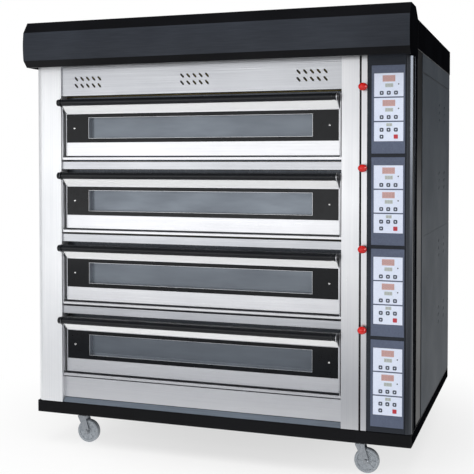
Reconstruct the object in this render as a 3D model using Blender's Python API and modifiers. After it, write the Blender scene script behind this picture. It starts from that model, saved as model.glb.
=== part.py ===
"""Four-deck electric bakery oven on casters.

Frame: metres, +Z up, the doors face -Y. The origin is on the floor, under the
middle of the whole object's box. Every deck is the same module, so its pieces are
modelled once, in a deck's own heights (0 at the top edge of the door glass), and
placed four times.
"""

import math

import bmesh
import bpy
from mathutils import Matrix, Vector

# ---- driving dimensions, in metres -------------------------------------------------
DECKS = 4
DECK_PITCH = 0.312
GAP = 0.0003                      # between pieces that touch
CASING_W = 1.630
CASING_D = 1.250                  # column face to rear panel
HOOD_REACH = 0.100                # hood face in front of the column face
BASE_BOTTOM = 0.138
BASE_TOP = 0.190
ROOF_TOP = 1.787
HOOD_TOP = 1.8255
HOOD_LIP = 1.6355
TOP_GLASS_LEVEL = 1.439           # top edge of the top deck's door glass

SHEET = 0.002                     # casing sheet
LINER = 0.0015                    # thinner sheet inside the casing
FRONT = -(CASING_D - HOOD_REACH) / 2     # column face
REAR = FRONT + CASING_D
LEFT = -CASING_W / 2
RIGHT = CASING_W / 2

# across the front
OPENING_L = LEFT + 0.123
OPENING_R = OPENING_L + 1.232
RIGHT_COLUMN_W = 0.100
SEAM_FROM_OPENING = 0.070
SEAM_W = 0.008
CONTROL_L = OPENING_R + RIGHT_COLUMN_W
DOOR_L = OPENING_L + 0.0105
DOOR_R = OPENING_R - 0.0105

# heights within a deck, 0 at the top edge of its door glass
DOOR_BOTTOM = -0.181
DOOR_TOP = 0.058
GLASS_BOTTOM = -0.123
WINDOW_TOP = -0.0155
WINDOW_BOTTOM = -0.1055
WINDOW_SIDE = 0.110               # window edge to door end
STRIP_TOP = -0.205
STRIP_BOTTOM = -0.237
SILL_TOP = -0.186
SILL_BOTTOM = -0.197
CAVITY_FLOOR = -0.165
CAVITY_TOP = 0.045

# depths
ROOF_SKIRT = 0.116
SKIRT_WALL = 0.0015
CAP_HALF_W = CASING_W / 2 + GAP + SKIRT_WALL     # roof and hood, outside the casing
HOOD_FACE = FRONT - HOOD_REACH
HOOD_BACK = HOOD_FACE + 0.210
REAR_FACE = REAR - SKIRT_WALL - GAP      # outside of the rear panel
DOOR_FACE = FRONT + 0.022          # the doors stand back between the columns
DOOR_THICK = 0.034
GLASS_THICK = 0.005
STRIP_RECESS = 0.010
PLINTH_RECESS = 0.022
LEDGE_RISE = 0.020
CAVITY_DEPTH = 0.870
FLANGE_FACE = DOOR_FACE + DOOR_THICK + 0.001
RETURN_DEPTH = 0.055              # folded edges beside and between the doors, from the column face

HANDLE_R = 0.014
HANDLE_FORWARD = 0.042            # handle axis in front of the door face
HANDLE_UP = 0.047
HANDLE_OVERHANG = 0.017
BRACKET_R = 0.018                 # round end of the cheek that holds the bar
TOP_FLANGE = (0.034, 0.0335)      # its outer edge: forward of the door face, and up

# steam slots, in three groups over the top deck
VENT_GROUPS = (-0.567, -0.077, 0.419)
VENT_COLUMNS, VENT_ROWS = 5, 2
VENT_PITCH = (0.0274, 0.0295)     # across and up
VENT_SLOT = (0.023, 0.008)        # length and width
VENT_LEAN = -48                   # degrees from level
VENT_UP = 0.042                   # lower row, from the panel's bottom edge

# controls
PANEL_L = CONTROL_L + 0.017
PANEL_W = 0.128
PANEL_H = 0.337
PANEL_PITCH = 0.351
PANEL_TOP = 1.602
PANEL_THICK = 0.003
PANEL_EDGE = 0.006                # the plate laps its window in the housing by this
FILM_SIDE = (0.009, 0.123)        # dish for the keypad film, from the plate's left edge
FILM_DOWN = (0.029, 0.292)        # and down from its top edge
FILM_DISH = 0.0006
CONTROL_DEPTH = 0.262
POST_L = RIGHT - 0.024

# damper pull
DAMPER_X = OPENING_R + 0.087
DAMPER_UP = 0.082
DAMPER_ROD_R = 0.004
DAMPER_ROD_L = 0.160

# casters
WHEEL_R = 0.050
WHEEL_W = 0.030
TRAIL = 0.024
CASTERS = {
    "front_left": (-0.632, FRONT + 0.085),
    "front_right": (0.604, FRONT + 0.085),
    "rear_left": (-0.632, REAR - 0.110),
    "rear_right": (0.604, REAR - 0.110),
}

COLOURS = {                       # base colour, metallic, roughness
    "stainless": ((0.62, 0.63, 0.65), 1.0, 0.30),
    "steel": ((0.42, 0.43, 0.45), 1.0, 0.45),
    "black_paint": ((0.014, 0.014, 0.016), 0.0, 0.35),
    "grey_paint": ((0.090, 0.105, 0.120), 0.0, 0.45),
    "black_glass": ((0.010, 0.010, 0.012), 0.0, 0.05),
    "bakelite": ((0.012, 0.012, 0.013), 0.0, 0.30),
    "blue_grey": ((0.090, 0.110, 0.165), 0.0, 0.45),
    "stone": ((0.55, 0.48, 0.38), 0.0, 0.90),
    "heater": ((0.10, 0.09, 0.085), 0.6, 0.55),
    "red_plastic": ((0.66, 0.02, 0.015), 0.0, 0.25),
    "grey_plastic": ((0.38, 0.40, 0.42), 0.0, 0.50),
    "zinc": ((0.55, 0.56, 0.58), 1.0, 0.35),
    "rock_wool": ((0.40, 0.36, 0.24), 0.0, 0.95),
}


# ---- scene and helpers -------------------------------------------------------------
def clear_scene():
    for obj in list(bpy.data.objects):
        bpy.data.objects.remove(obj)


def new_collection(name):
    collection = bpy.data.collections.new(name)
    bpy.context.scene.collection.children.link(collection)
    return collection


def make_material(name):
    colour, metallic, roughness = COLOURS[name]
    material = bpy.data.materials.new(name)
    material.use_nodes = True
    shader = material.node_tree.nodes["Principled BSDF"]
    shader.inputs["Base Color"].default_value = (*colour, 1)
    shader.inputs["Metallic"].default_value = metallic
    shader.inputs["Roughness"].default_value = roughness
    return material


clear_scene()
PARTS = new_collection("deck_oven")
CUTTERS = new_collection("cutters")
MATERIALS = {name: make_material(name) for name in COLOURS}


def add_object(name, mesh, collection):
    obj = bpy.data.objects.new(name, mesh)
    collection.objects.link(obj)
    return obj


def helper(obj):
    """A cutter or a joined shape: it isn't a part itself."""
    obj.hide_render = True
    obj.display_type = "WIRE"
    return obj


def box(low, high):
    """A box between two corners, with its place in its mesh."""
    low, high = Vector(low), Vector(high)
    mesh = bpy.data.meshes.new("box")
    shape = bmesh.new()
    bmesh.ops.create_cube(shape, size=1)
    bmesh.ops.transform(
        shape,
        matrix=Matrix.Translation((low + high) / 2) @ Matrix.Diagonal((*(high - low), 1)),
        verts=shape.verts,
    )
    shape.to_mesh(mesh)
    shape.free()
    return helper(add_object("box", mesh, CUTTERS))


def cylinder(centre, axis, radius, length, segments):
    """A cylinder about its centre, along a direction."""
    mesh = bpy.data.meshes.new("cylinder")
    shape = bmesh.new()
    turn = Vector((0, 0, 1)).rotation_difference(Vector(axis)).to_matrix().to_4x4()
    bmesh.ops.create_cone(
        shape, cap_ends=True, segments=segments, radius1=radius, radius2=radius,
        depth=length, matrix=Matrix.Translation(centre) @ turn,
    )
    shape.to_mesh(mesh)
    shape.free()
    return helper(add_object("cylinder", mesh, CUTTERS))


def evaluated_mesh(obj, turn_outwards=False):
    graph = bpy.context.evaluated_depsgraph_get()
    mesh = bpy.data.meshes.new_from_object(obj.evaluated_get(graph))
    mesh.transform(obj.matrix_world)
    shape = bmesh.new()
    shape.from_mesh(mesh)
    bmesh.ops.remove_doubles(shape, verts=shape.verts, dist=1e-6)
    if turn_outwards:
        bmesh.ops.recalc_face_normals(shape, faces=shape.faces)
    shape.to_mesh(mesh)
    shape.free()
    return mesh


def bake(obj, turn_outwards=False):
    """The shape with its modifiers applied, as a helper that holds only a mesh."""
    bpy.context.view_layer.update()
    mesh = evaluated_mesh(obj, turn_outwards)
    operands = [m.object for m in obj.modifiers if m.type == "BOOLEAN"]
    name = obj.name
    for used in [obj, *operands]:
        bpy.data.objects.remove(used)
    return helper(add_object(name, mesh, CUTTERS))


def prism(outline, along, start, end):
    """A flat outline swept along an axis. An X prism's outline is (y, z), a Y prism's (x, z),
    and a Z prism's (x, y)."""
    curve = bpy.data.curves.new("prism", "CURVE")
    curve.dimensions = "2D"
    curve.fill_mode = "BOTH"
    curve.extrude = abs(end - start) / 2
    spline = curve.splines.new("POLY")
    spline.points.add(len(outline) - 1)
    for point, (a, b) in zip(spline.points, outline):
        point.co = (a, b, 0, 1)
    spline.use_cyclic_u = True
    guide = add_object("prism", curve, CUTTERS)
    middle = (start + end) / 2
    guide.matrix_world = {
        "X": Matrix(((0, 0, 1, middle), (1, 0, 0, 0), (0, 1, 0, 0), (0, 0, 0, 1))),
        "Y": Matrix(((1, 0, 0, 0), (0, 0, -1, middle), (0, 1, 0, 0), (0, 0, 0, 1))),
        "Z": Matrix.Translation((0, 0, middle)),
    }[along]
    bpy.context.view_layer.update()
    mesh = evaluated_mesh(guide, turn_outwards=True)
    bpy.data.objects.remove(guide)
    return helper(add_object("prism", mesh, CUTTERS))


def turned(profile, centre, axis, segments):
    """A profile of (radius, height) points, from top to bottom, turned about an axis."""
    mesh = bpy.data.meshes.new("turned")
    shape = bmesh.new()
    corners = [shape.verts.new((radius, 0, height)) for radius, height in profile]
    for a, b in zip(corners, corners[1:]):
        shape.edges.new((a, b))
    shape.to_mesh(mesh)
    shape.free()
    obj = add_object("turned", mesh, CUTTERS)
    screw = obj.modifiers.new("turn", "SCREW")
    screw.steps = screw.render_steps = segments
    screw.use_merge_vertices = True
    screw.merge_threshold = 0.00001
    turn = Vector((0, 0, 1)).rotation_difference(Vector(axis)).to_matrix().to_4x4()
    obj.matrix_world = Matrix.Translation(centre) @ turn
    return bake(obj, turn_outwards=True)


def together(shapes):
    """Shapes that don't touch, as one cutter."""
    mesh = bpy.data.meshes.new("group")
    group = bmesh.new()
    for shape in shapes:
        group.from_mesh(shape.data)
        bpy.data.objects.remove(shape)
    group.to_mesh(mesh)
    group.free()
    return helper(add_object("group", mesh, CUTTERS))


def boolean(obj, others, operation):
    for other in others:
        step = obj.modifiers.new(operation.lower(), "BOOLEAN")
        step.operation = operation
        step.object = other
        step.solver = "EXACT"
    return bake(obj)


def cut(obj, *cutters):
    return boolean(obj, cutters, "DIFFERENCE")


def join(obj, *others):
    return boolean(obj, others, "UNION")


def soften(obj, width, segments=1):
    """Rounds the edges sharper than 40 degrees."""
    bevel = obj.modifiers.new("round", "BEVEL")
    bevel.width = width
    bevel.segments = segments
    bevel.limit_method = "ANGLE"
    bevel.angle_limit = math.radians(40)
    return bake(obj)


def part(name, shape, material, at=(0, 0, 0), parent=None):
    """Turns a helper into a named part, its origin at a point and its shape unmoved."""
    mesh = shape.data.copy()
    mesh.name = name
    mesh.transform(Matrix.Translation(-Vector(at)))
    mesh.materials.clear()
    mesh.materials.append(MATERIALS[material])
    mesh.shade_smooth()
    mesh.set_sharp_from_angle(angle=math.radians(35))
    obj = add_object(name, mesh, PARTS)
    obj.location = Vector(at) - (parent.location if parent else Vector())
    obj.parent = parent
    bpy.data.objects.remove(shape)
    return obj


def axis_empty(name, at):
    empty = bpy.data.objects.new(name, None)
    empty.empty_display_size = 0.05
    empty.location = at
    PARTS.objects.link(empty)
    return empty


def deck_level(n):
    return TOP_GLASS_LEVEL - (n - 1) * DECK_PITCH


def arc(centre, radius, start, end, steps):
    """Points on an arc, the angles in degrees."""
    return [
        (
            centre[0] + radius * math.cos(math.radians(start + (end - start) * n / steps)),
            centre[1] + radius * math.sin(math.radians(start + (end - start) * n / steps)),
        )
        for n in range(steps + 1)
    ]


def slot_outline(centre, length, width, angle):
    """A round-ended slot about a centre, its length turned by an angle in degrees."""
    half = (length - width) / 2
    turn = math.radians(angle)
    ends = []
    for side in (1, -1):
        end = (
            centre[0] + side * half * math.cos(turn),
            centre[1] + side * half * math.sin(turn),
        )
        first = angle - 90 if side == 1 else angle + 90
        ends += arc(end, width / 2, first, first + 180, 3)
    return ends


# ---- base and casing ---------------------------------------------------------------
def make_base():
    """An inverted steel tray: a top plate with deep edges, four caster pads and a front ledge."""
    wall = 0.003
    tray = soften(box((LEFT, FRONT, BASE_BOTTOM), (RIGHT, REAR, BASE_TOP)), 0.003)
    hollow = box(
        (LEFT + wall, FRONT + wall, BASE_BOTTOM - 0.01), (RIGHT - wall, REAR - wall, BASE_TOP - wall)
    )
    tray = cut(tray, hollow)
    pad = 0.055
    pads = [
        box((x - pad, y - pad, BASE_BOTTOM), (x + pad, y + pad, BASE_TOP - wall / 2))
        for x, y in CASTERS.values()
    ]
    ledge = prism(
        [
            (FRONT + 0.001, BASE_TOP - 0.002),
            (FRONT + PLINTH_RECESS + 0.006, BASE_TOP - 0.002),
            (FRONT + PLINTH_RECESS + 0.006, BASE_TOP + LEDGE_RISE),
            (FRONT + 0.001, BASE_TOP + 0.0005),
        ],
        "X", OPENING_L + 0.001, OPENING_R - 0.001,
    )
    part("base_frame", join(tray, *pads, ledge), "black_paint")


def make_left_column():
    """A folded stainless column with a broad round outer corner."""
    radius = 0.030
    back = FRONT + RETURN_DEPTH
    outer = [(OPENING_L, back), (OPENING_L, FRONT)]
    outer += arc((LEFT + radius, FRONT + radius), radius, 270, 180, 8)
    outer += [(LEFT, FRONT + 0.060)]
    inner = [(LEFT + SHEET, FRONT + 0.060)]
    inner += arc((LEFT + radius, FRONT + radius), radius - SHEET, 180, 270, 8)
    inner += [(OPENING_L - SHEET, FRONT + SHEET), (OPENING_L - SHEET, back)]
    top = ROOF_TOP - SHEET - GAP
    part("left_column", prism(outer + inner, "Z", BASE_TOP + GAP, top), "stainless")


def make_right_column():
    """A folded stainless column whose deep groove divides off the strip that carries the damper pulls."""
    seam = OPENING_R + SEAM_FROM_OPENING
    deep = FRONT + 0.012
    back = FRONT + RETURN_DEPTH
    outline = [
        (OPENING_R, back), (OPENING_R, FRONT), (seam, FRONT), (seam, deep - SHEET),
        (seam + SEAM_W, deep - SHEET), (seam + SEAM_W, FRONT), (CONTROL_L - GAP, FRONT),
        (CONTROL_L - GAP, back), (CONTROL_L - GAP - SHEET, back),
        (CONTROL_L - GAP - SHEET, FRONT + SHEET), (seam + SEAM_W + SHEET, FRONT + SHEET),
        (seam + SEAM_W + SHEET, deep), (seam - SHEET, deep), (seam - SHEET, FRONT + SHEET),
        (OPENING_R + SHEET, FRONT + SHEET), (OPENING_R + SHEET, back),
    ]
    column = prism(outline, "Z", BASE_TOP + GAP, ROOF_TOP - SHEET - GAP)
    holes = [
        cylinder(
            (DAMPER_X, FRONT, deck_level(n) + DAMPER_UP), (0, 1, 0),
            DAMPER_ROD_R + 0.0004, 0.02, 16,
        )
        for n in range(1, DECKS + 1)
    ]
    part("right_column", cut(column, *holes), "stainless")


def channel(low, high, wall=0.0015):
    """A sheet facing -Y whose top and bottom edges fold back as far as the columns' edges."""
    (x0, y0, z0), (x1, z1) = low, high
    lip = FRONT + RETURN_DEPTH - y0
    outline = [
        (y0 + lip, z0), (y0, z0), (y0, z1), (y0 + lip, z1), (y0 + lip, z1 - wall),
        (y0 + wall, z1 - wall), (y0 + wall, z0 + wall), (y0 + lip, z0 + wall),
    ]
    return prism(outline, "X", x0, x1)


def make_strips():
    """The stainless strips between the decks, and the plinth panel under the lowest one."""
    left, right = OPENING_L + GAP, OPENING_R - GAP
    face = FRONT + STRIP_RECESS
    for n in range(1, DECKS):
        level = deck_level(n)
        shape = channel((left, face, level + STRIP_BOTTOM), (right, level + STRIP_TOP))
        part(f"deck_strip_{n}", shape, "stainless")
    bottom = BASE_TOP + LEDGE_RISE + GAP
    top = deck_level(DECKS) + STRIP_TOP
    part(
        "plinth_panel",
        channel((left, FRONT + PLINTH_RECESS, bottom), (right, top)),
        "stainless",
    )


def make_vent_panel():
    """The panel over the top deck, with three groups of slanting steam slots."""
    left, right = OPENING_L + GAP, OPENING_R - GAP
    face = FRONT + STRIP_RECESS
    bottom = deck_level(1) + 0.078
    panel = channel((left, face, bottom), (right, ROOF_TOP - SHEET - GAP))
    pitch_x, pitch_z = VENT_PITCH
    slots = []
    for middle in VENT_GROUPS:
        for column in range(VENT_COLUMNS):
            for row in range(VENT_ROWS):
                centre = (
                    middle + (column - (VENT_COLUMNS - 1) / 2) * pitch_x,
                    bottom + VENT_UP + row * pitch_z,
                )
                outline = slot_outline(centre, *VENT_SLOT, VENT_LEAN)
                slots.append(prism(outline, "Y", face - 0.01, face + 0.01))
    part("vent_panel", cut(panel, together(slots)), "stainless")


def louvre_cutters(x0, x1, y_middle, levels):
    """Slanting air slots through a side panel, two columns of three at each level."""
    found = []
    for level in levels:
        for column in (-0.5, 0.5):
            for row in (-1, 0, 1):
                centre = (y_middle + column * 0.200, level + row * 0.034)
                found.append(prism(slot_outline(centre, 0.030, 0.007, 25), "X", x0, x1))
    return found


def make_side_panel(name, outside, inward, front):
    """A painted side panel made of three sheets' height, with a groove at each joint."""
    low_x, high_x = sorted((outside, outside + inward * SHEET))
    bottom, top = BASE_TOP + GAP, ROOF_TOP - ROOF_SKIRT - GAP
    panel = box((low_x, front, bottom), (high_x, REAR_FACE, top))
    groove_x = sorted((outside - inward * 0.001, outside + inward * 0.001))
    grooves = [
        box((groove_x[0], front - 0.01, level - 0.002), (groove_x[1], REAR, level + 0.002))
        for level in (0.929, 1.596)
    ]
    levels = [deck_level(n) + 0.02 for n in range(1, DECKS + 1)]
    slots = louvre_cutters(low_x - 0.01, high_x + 0.01, FRONT + 0.93, levels)
    part(name, cut(panel, *grooves, together(slots)), "grey_paint")


def make_rear_panel():
    panel = box(
        (LEFT + SHEET + GAP, REAR_FACE - SHEET, BASE_TOP + GAP),
        (RIGHT - SHEET - GAP, REAR_FACE, ROOF_TOP - SHEET - GAP),
    )
    part("rear_panel", panel, "grey_paint")


def make_roof():
    """A black lid with a deep skirt on both sides and the rear."""
    skirt = ROOF_TOP - ROOF_SKIRT
    front = HOOD_BACK + GAP
    lid = box((-CAP_HALF_W, front, skirt), (CAP_HALF_W, REAR, ROOF_TOP))
    inside = CAP_HALF_W - SKIRT_WALL
    hollow = box(
        (-inside, front - 0.01, skirt - 0.01), (inside, REAR - SKIRT_WALL, ROOF_TOP - SHEET)
    )
    part("roof_panel", cut(soften(lid, 0.001), hollow), "black_paint")


def make_hood():
    """The canopy over the doors: a front face between two chamfers, closed ends, open below."""
    lip, low, high = HOOD_LIP, HOOD_LIP + 0.026, HOOD_TOP - 0.0455
    lip_y, brow_y, crest_y = FRONT - 0.069, FRONT - 0.063, FRONT + 0.050
    outer = [
        (lip_y, lip), (HOOD_FACE, low), (HOOD_FACE, high), (brow_y, HOOD_TOP),
        (crest_y, HOOD_TOP), (HOOD_BACK, ROOF_TOP), (HOOD_BACK, lip),
    ]
    wall = 0.0025
    below = lip - 0.030
    inner = [
        (lip_y + wall * 0.4, below), (lip_y + wall * 0.4, lip + wall * 0.9),
        (HOOD_FACE + wall, low + wall * 0.6), (HOOD_FACE + wall, high - wall * 0.5),
        (brow_y + wall * 0.5, HOOD_TOP - wall), (crest_y - wall * 0.3, HOOD_TOP - wall),
        (HOOD_BACK - wall * 0.5, ROOF_TOP - SHEET), (HOOD_BACK + 0.010, ROOF_TOP - SHEET),
        (HOOD_BACK + 0.010, below),
    ]
    shell = prism(outer, "X", -CAP_HALF_W, CAP_HALF_W)
    inside = CAP_HALF_W - SKIRT_WALL
    part("hood", cut(shell, prism(inner, "X", -inside, inside)), "black_paint")


def make_control_housing():
    """The black compartment beside the decks, open at the front for four control panels."""
    left, right = CONTROL_L, RIGHT - SHEET - GAP
    bottom, top = BASE_TOP + GAP, ROOF_TOP - SHEET - GAP
    wall = LINER
    front = FRONT + 0.001
    casing = box((left, front, bottom), (right, FRONT + CONTROL_DEPTH, top))
    hollow = box(
        (left + wall, front + wall, bottom + wall),
        (right - wall, FRONT + CONTROL_DEPTH - wall, top - wall),
    )
    windows = [
        box(
            (PANEL_L + PANEL_EDGE, front - 0.01, PANEL_TOP - n * PANEL_PITCH - PANEL_H + PANEL_EDGE),
            (PANEL_L + PANEL_W - PANEL_EDGE, front + 0.01, PANEL_TOP - n * PANEL_PITCH - PANEL_EDGE),
        )
        for n in range(DECKS)
    ]
    notch = box((POST_L - 0.001, front - 0.01, bottom - 0.01), (right + 0.01, FRONT + 0.030, top + 0.01))
    notch_lining = box(
        (POST_L - 0.001 - wall, front, bottom), (right, FRONT + 0.030 + wall, top)
    )
    shell = cut(casing, hollow)
    shell = join(shell, notch_lining)
    part("control_housing", cut(shell, notch, *windows), "black_paint")


def make_corner_post():
    """The rounded stainless post at the front corner, with a groove dividing off its side trim."""
    radius = 0.019
    side_end = FRONT + 0.114
    groove = FRONT + 0.044
    outline = [(POST_L, FRONT + 0.012), (POST_L, FRONT)]
    outline += arc((RIGHT - radius, FRONT + radius), radius, 270, 360, 6)
    outline += [(RIGHT, groove), (RIGHT - 0.0008, groove), (RIGHT - 0.0008, groove + 0.010),
                (RIGHT, groove + 0.010), (RIGHT, side_end), (RIGHT - SHEET, side_end)]
    outline += arc((RIGHT - radius, FRONT + radius), radius - SHEET, 360, 270, 6)
    outline += [(POST_L + SHEET, FRONT + SHEET), (POST_L + SHEET, FRONT + 0.012)]
    part("corner_post", prism(outline, "Z", BASE_TOP + GAP, ROOF_TOP - SHEET - GAP), "stainless")


def make_control_panels():
    """Each deck's control plate: a shallow dished plate that the keypad film sits in."""
    face = FRONT + 0.001 - GAP
    for n in range(DECKS):
        top = PANEL_TOP - n * PANEL_PITCH
        plate = box(
            (PANEL_L, face - PANEL_THICK, top - PANEL_H), (PANEL_L + PANEL_W, face, top)
        )
        plate = soften(plate, 0.0008)
        inset = PANEL_EDGE + 0.0005
        plug = box(
            (PANEL_L + inset, face - 0.001, top - PANEL_H + inset),
            (PANEL_L + PANEL_W - inset, face + 0.030, top - inset),
        )
        film = box(
            (PANEL_L + FILM_SIDE[0], face - 0.01, top - FILM_DOWN[1]),
            (PANEL_L + FILM_SIDE[1], face - PANEL_THICK + FILM_DISH, top - FILM_DOWN[0]),
        )
        part(f"control_panel_{n + 1}", cut(join(plate, plug), film), "blue_grey")


# ---- one deck ----------------------------------------------------------------------
CAVITY_L = OPENING_L + 0.016
CAVITY_R = OPENING_R - 0.016
CAVITY_BACK = FLANGE_FACE + CAVITY_DEPTH
HEATER_R = 0.004
HEATER_TAILS = (-0.50, 0.35)
LOW_HEATER = CAVITY_FLOOR + 0.012
HIGH_HEATER = CAVITY_TOP - 0.014
STONE_BOTTOM = CAVITY_FLOOR + 0.026


def chamber_shape():
    """A sheet-steel baking chamber: an open box with a front flange, a sill and two stone ledges."""
    wall = 0.002
    shell = box(
        (CAVITY_L - wall, FLANGE_FACE, CAVITY_FLOOR - wall),
        (CAVITY_R + wall, CAVITY_BACK + wall, CAVITY_TOP + wall),
    )
    flange = box(
        (OPENING_L + 0.001, FLANGE_FACE, STRIP_TOP + 0.002),
        (OPENING_R - 0.001, FLANGE_FACE + 0.003, STRIP_BOTTOM + DECK_PITCH - 0.002),
    )
    sill = box(
        (OPENING_L + 0.001, FRONT + 0.008, SILL_BOTTOM),
        (OPENING_R - 0.001, FLANGE_FACE + 0.001, SILL_TOP),
    )
    cavity = box(
        (CAVITY_L, FLANGE_FACE - 0.01, CAVITY_FLOOR), (CAVITY_R, CAVITY_BACK, CAVITY_TOP)
    )
    shape = cut(join(shell, flange, sill), cavity)
    ledge_z = STONE_BOTTOM - GAP
    ledges = [
        box((x0, FLANGE_FACE + 0.02, ledge_z - 0.002), (x1, CAVITY_BACK + 0.001, ledge_z))
        for x0, x1 in ((CAVITY_L - 0.001, CAVITY_L + 0.014), (CAVITY_R - 0.014, CAVITY_R + 0.001))
    ]
    shape = join(shape, *ledges)
    holes = [
        cylinder((x, CAVITY_BACK, z), (0, 1, 0), HEATER_R + 0.001, 0.02, 12)
        for x in HEATER_TAILS
        for z in (LOW_HEATER, HIGH_HEATER)
    ]
    return cut(shape, *holes)


def heater_shape(level):
    """A tubular element: five hairpins across the cavity, both tails leaving through the back."""
    legs = 6
    near, far = FLANGE_FACE + 0.070, CAVITY_BACK - 0.050
    first, last = HEATER_TAILS
    pitch = (last - first) / (legs - 1)
    turn = pitch / 2
    route = [(first, CAVITY_BACK + 0.030)]
    for leg in range(legs - 1):
        x = first + leg * pitch
        at_front = leg % 2 == 0
        end = near + turn if at_front else far - turn
        angles = (180, 360) if at_front else (180, 0)
        route += arc((x + turn, end), turn, *angles, 5)
    route.append((last, CAVITY_BACK + 0.030))
    curve = bpy.data.curves.new("heater", "CURVE")
    curve.dimensions = "3D"
    curve.bevel_depth = HEATER_R
    curve.bevel_resolution = 1
    curve.use_fill_caps = True
    spline = curve.splines.new("POLY")
    spline.points.add(len(route) - 1)
    for point, (x, y) in zip(spline.points, route):
        point.co = (x, y, level, 1)
    return bake(add_object("heater", curve, CUTTERS), turn_outwards=True)


def stone_shape():
    """The refractory hearth slab that the trays or loaves stand on."""
    slab = box(
        (CAVITY_L + 0.002, FLANGE_FACE + 0.022, STONE_BOTTOM),
        (CAVITY_R - 0.002, CAVITY_BACK - 0.004, STONE_BOTTOM + 0.020),
    )
    return soften(slab, 0.002)


def door_frame_shape():
    """A hollow stainless door: a body with a glass recess, a forward-leaning top flange that
    carries the handle, and a cheek at each end of it."""
    face, back = DOOR_FACE, DOOR_FACE + DOOR_THICK
    body = soften(box((DOOR_L, face, DOOR_BOTTOM), (DOOR_R, back, DOOR_TOP)), 0.0015)
    skin = 0.0015
    recess = GLASS_THICK + 0.0005
    glass_l, glass_r = DOOR_L + 0.005, DOOR_R - 0.005
    hollow = box(
        (DOOR_L + skin, face + recess + skin, DOOR_BOTTOM + skin),
        (DOOR_R - skin, back - skin, DOOR_TOP - skin),
    )
    glass_recess = box((glass_l, face - 0.01, GLASS_BOTTOM), (glass_r, face + recess, 0))
    window = box(
        (DOOR_L + WINDOW_SIDE, face - 0.02, WINDOW_BOTTOM),
        (DOOR_R - WINDOW_SIDE, back + 0.02, WINDOW_TOP),
    )
    body = cut(body, hollow, glass_recess, window)
    axis_y, axis_z = face - HANDLE_FORWARD, HANDLE_UP
    reach, rise = TOP_FLANGE
    flange = prism(
        [
            (face + 0.001, 0.0020), (face - reach, rise), (face - reach + 0.0015, rise + 0.0025),
            (face + 0.001, 0.0060),
        ],
        "X", DOOR_L + 0.002, DOOR_R - 0.002,
    )
    cheek_outline = [(face + 0.001, 0.001)]
    cheek_outline += arc((axis_y, axis_z), BRACKET_R, 290, 100, 8)
    cheek_outline += [(face + 0.001, DOOR_TOP - 0.006)]
    cheeks = [
        prism(cheek_outline, "X", x, x + 0.003) for x in (DOOR_L + 0.0005, DOOR_R - 0.0035)
    ]
    body = join(body, flange, *cheeks)
    bore = cylinder(
        ((DOOR_L + DOOR_R) / 2, axis_y, axis_z), (1, 0, 0),
        HANDLE_R + 0.0005, DOOR_R - DOOR_L + 0.1, 24,
    )
    return cut(body, bore)


def glass_shape():
    """The black-bordered pane that fills the recess across the door."""
    face = DOOR_FACE
    return soften(
        box(
            (DOOR_L + 0.0055, face + 0.0005, GLASS_BOTTOM + 0.0005),
            (DOOR_R - 0.0055, face + 0.0005 + GLASS_THICK - GAP, -0.0005),
        ),
        0.0006,
    )


def handle_shape():
    """A round bar with a collar and a domed cap beyond each end of the door."""
    length = DOOR_R - DOOR_L + 2 * HANDLE_OVERHANG
    half = length / 2
    cap_start = half - HANDLE_OVERHANG + 0.002
    side = [
        (0, half), (HANDLE_R * 0.8, half), (HANDLE_R + 0.0005, half - 0.003),
        (HANDLE_R + 0.0005, cap_start), (HANDLE_R, cap_start),
    ]
    profile = side + [(radius, -height) for radius, height in reversed(side)]
    centre = ((DOOR_L + DOOR_R) / 2, DOOR_FACE - HANDLE_FORWARD, HANDLE_UP)
    return turned(profile, centre, (1, 0, 0), 20)


def knob_shape():
    """The red damper pull: a domed button on a black collar, with its rod."""
    face = FRONT
    profile = [
        (0, 0.036), (0.0080, 0.0352), (0.0130, 0.0325), (0.0165, 0.028), (0.0180, 0.022),
        (0.0172, 0.016), (0.0120, 0.011), (0.0120, 0.003), (DAMPER_ROD_R, 0.003),
        (DAMPER_ROD_R, -DAMPER_ROD_L), (0, -DAMPER_ROD_L),
    ]
    return turned(profile, (DAMPER_X, face, DAMPER_UP), (0, -1, 0), 16)


def lifted(shape, level):
    """A copy of a deck-height shape, moved to its deck."""
    mesh = shape.data.copy()
    mesh.transform(Matrix.Translation((0, 0, level)))
    return helper(add_object(shape.name, mesh, CUTTERS))


HINGE_INSET = 0.004               # the hinge line's distance from the door's lower front edge
HINGE_Y = DOOR_FACE + HINGE_INSET
HINGE_X = (DOOR_L + DOOR_R) / 2


def make_decks():
    fixed = {
        "chamber": (chamber_shape(), "steel"),
        "hearth_stone": (stone_shape(), "stone"),
        "top_heater": (heater_shape(HIGH_HEATER), "heater"),
        "bottom_heater": (heater_shape(LOW_HEATER), "heater"),
    }
    moving = {
        "door_frame": (door_frame_shape(), "stainless"),
        "door_glass": (glass_shape(), "black_glass"),
        "door_handle": (handle_shape(), "bakelite"),
    }
    knob = knob_shape()
    for n in range(1, DECKS + 1):
        level = deck_level(n)
        for name, (shape, material) in fixed.items():
            part(f"{name}_{n}", lifted(shape, level), material)
        hinge = axis_empty(f"door_{n}_hinge", (HINGE_X, HINGE_Y, level + DOOR_BOTTOM + HINGE_INSET))
        for name, (shape, material) in moving.items():
            part(f"{name}_{n}", lifted(shape, level), material, hinge.location, hinge)
        pull = (DAMPER_X, FRONT, level + DAMPER_UP)
        part(f"damper_knob_{n}", lifted(knob, level), "red_plastic", pull)
    for shape in [*(s for s, _ in fixed.values()), *(s for s, _ in moving.values()), knob]:
        bpy.data.objects.remove(shape)


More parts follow.
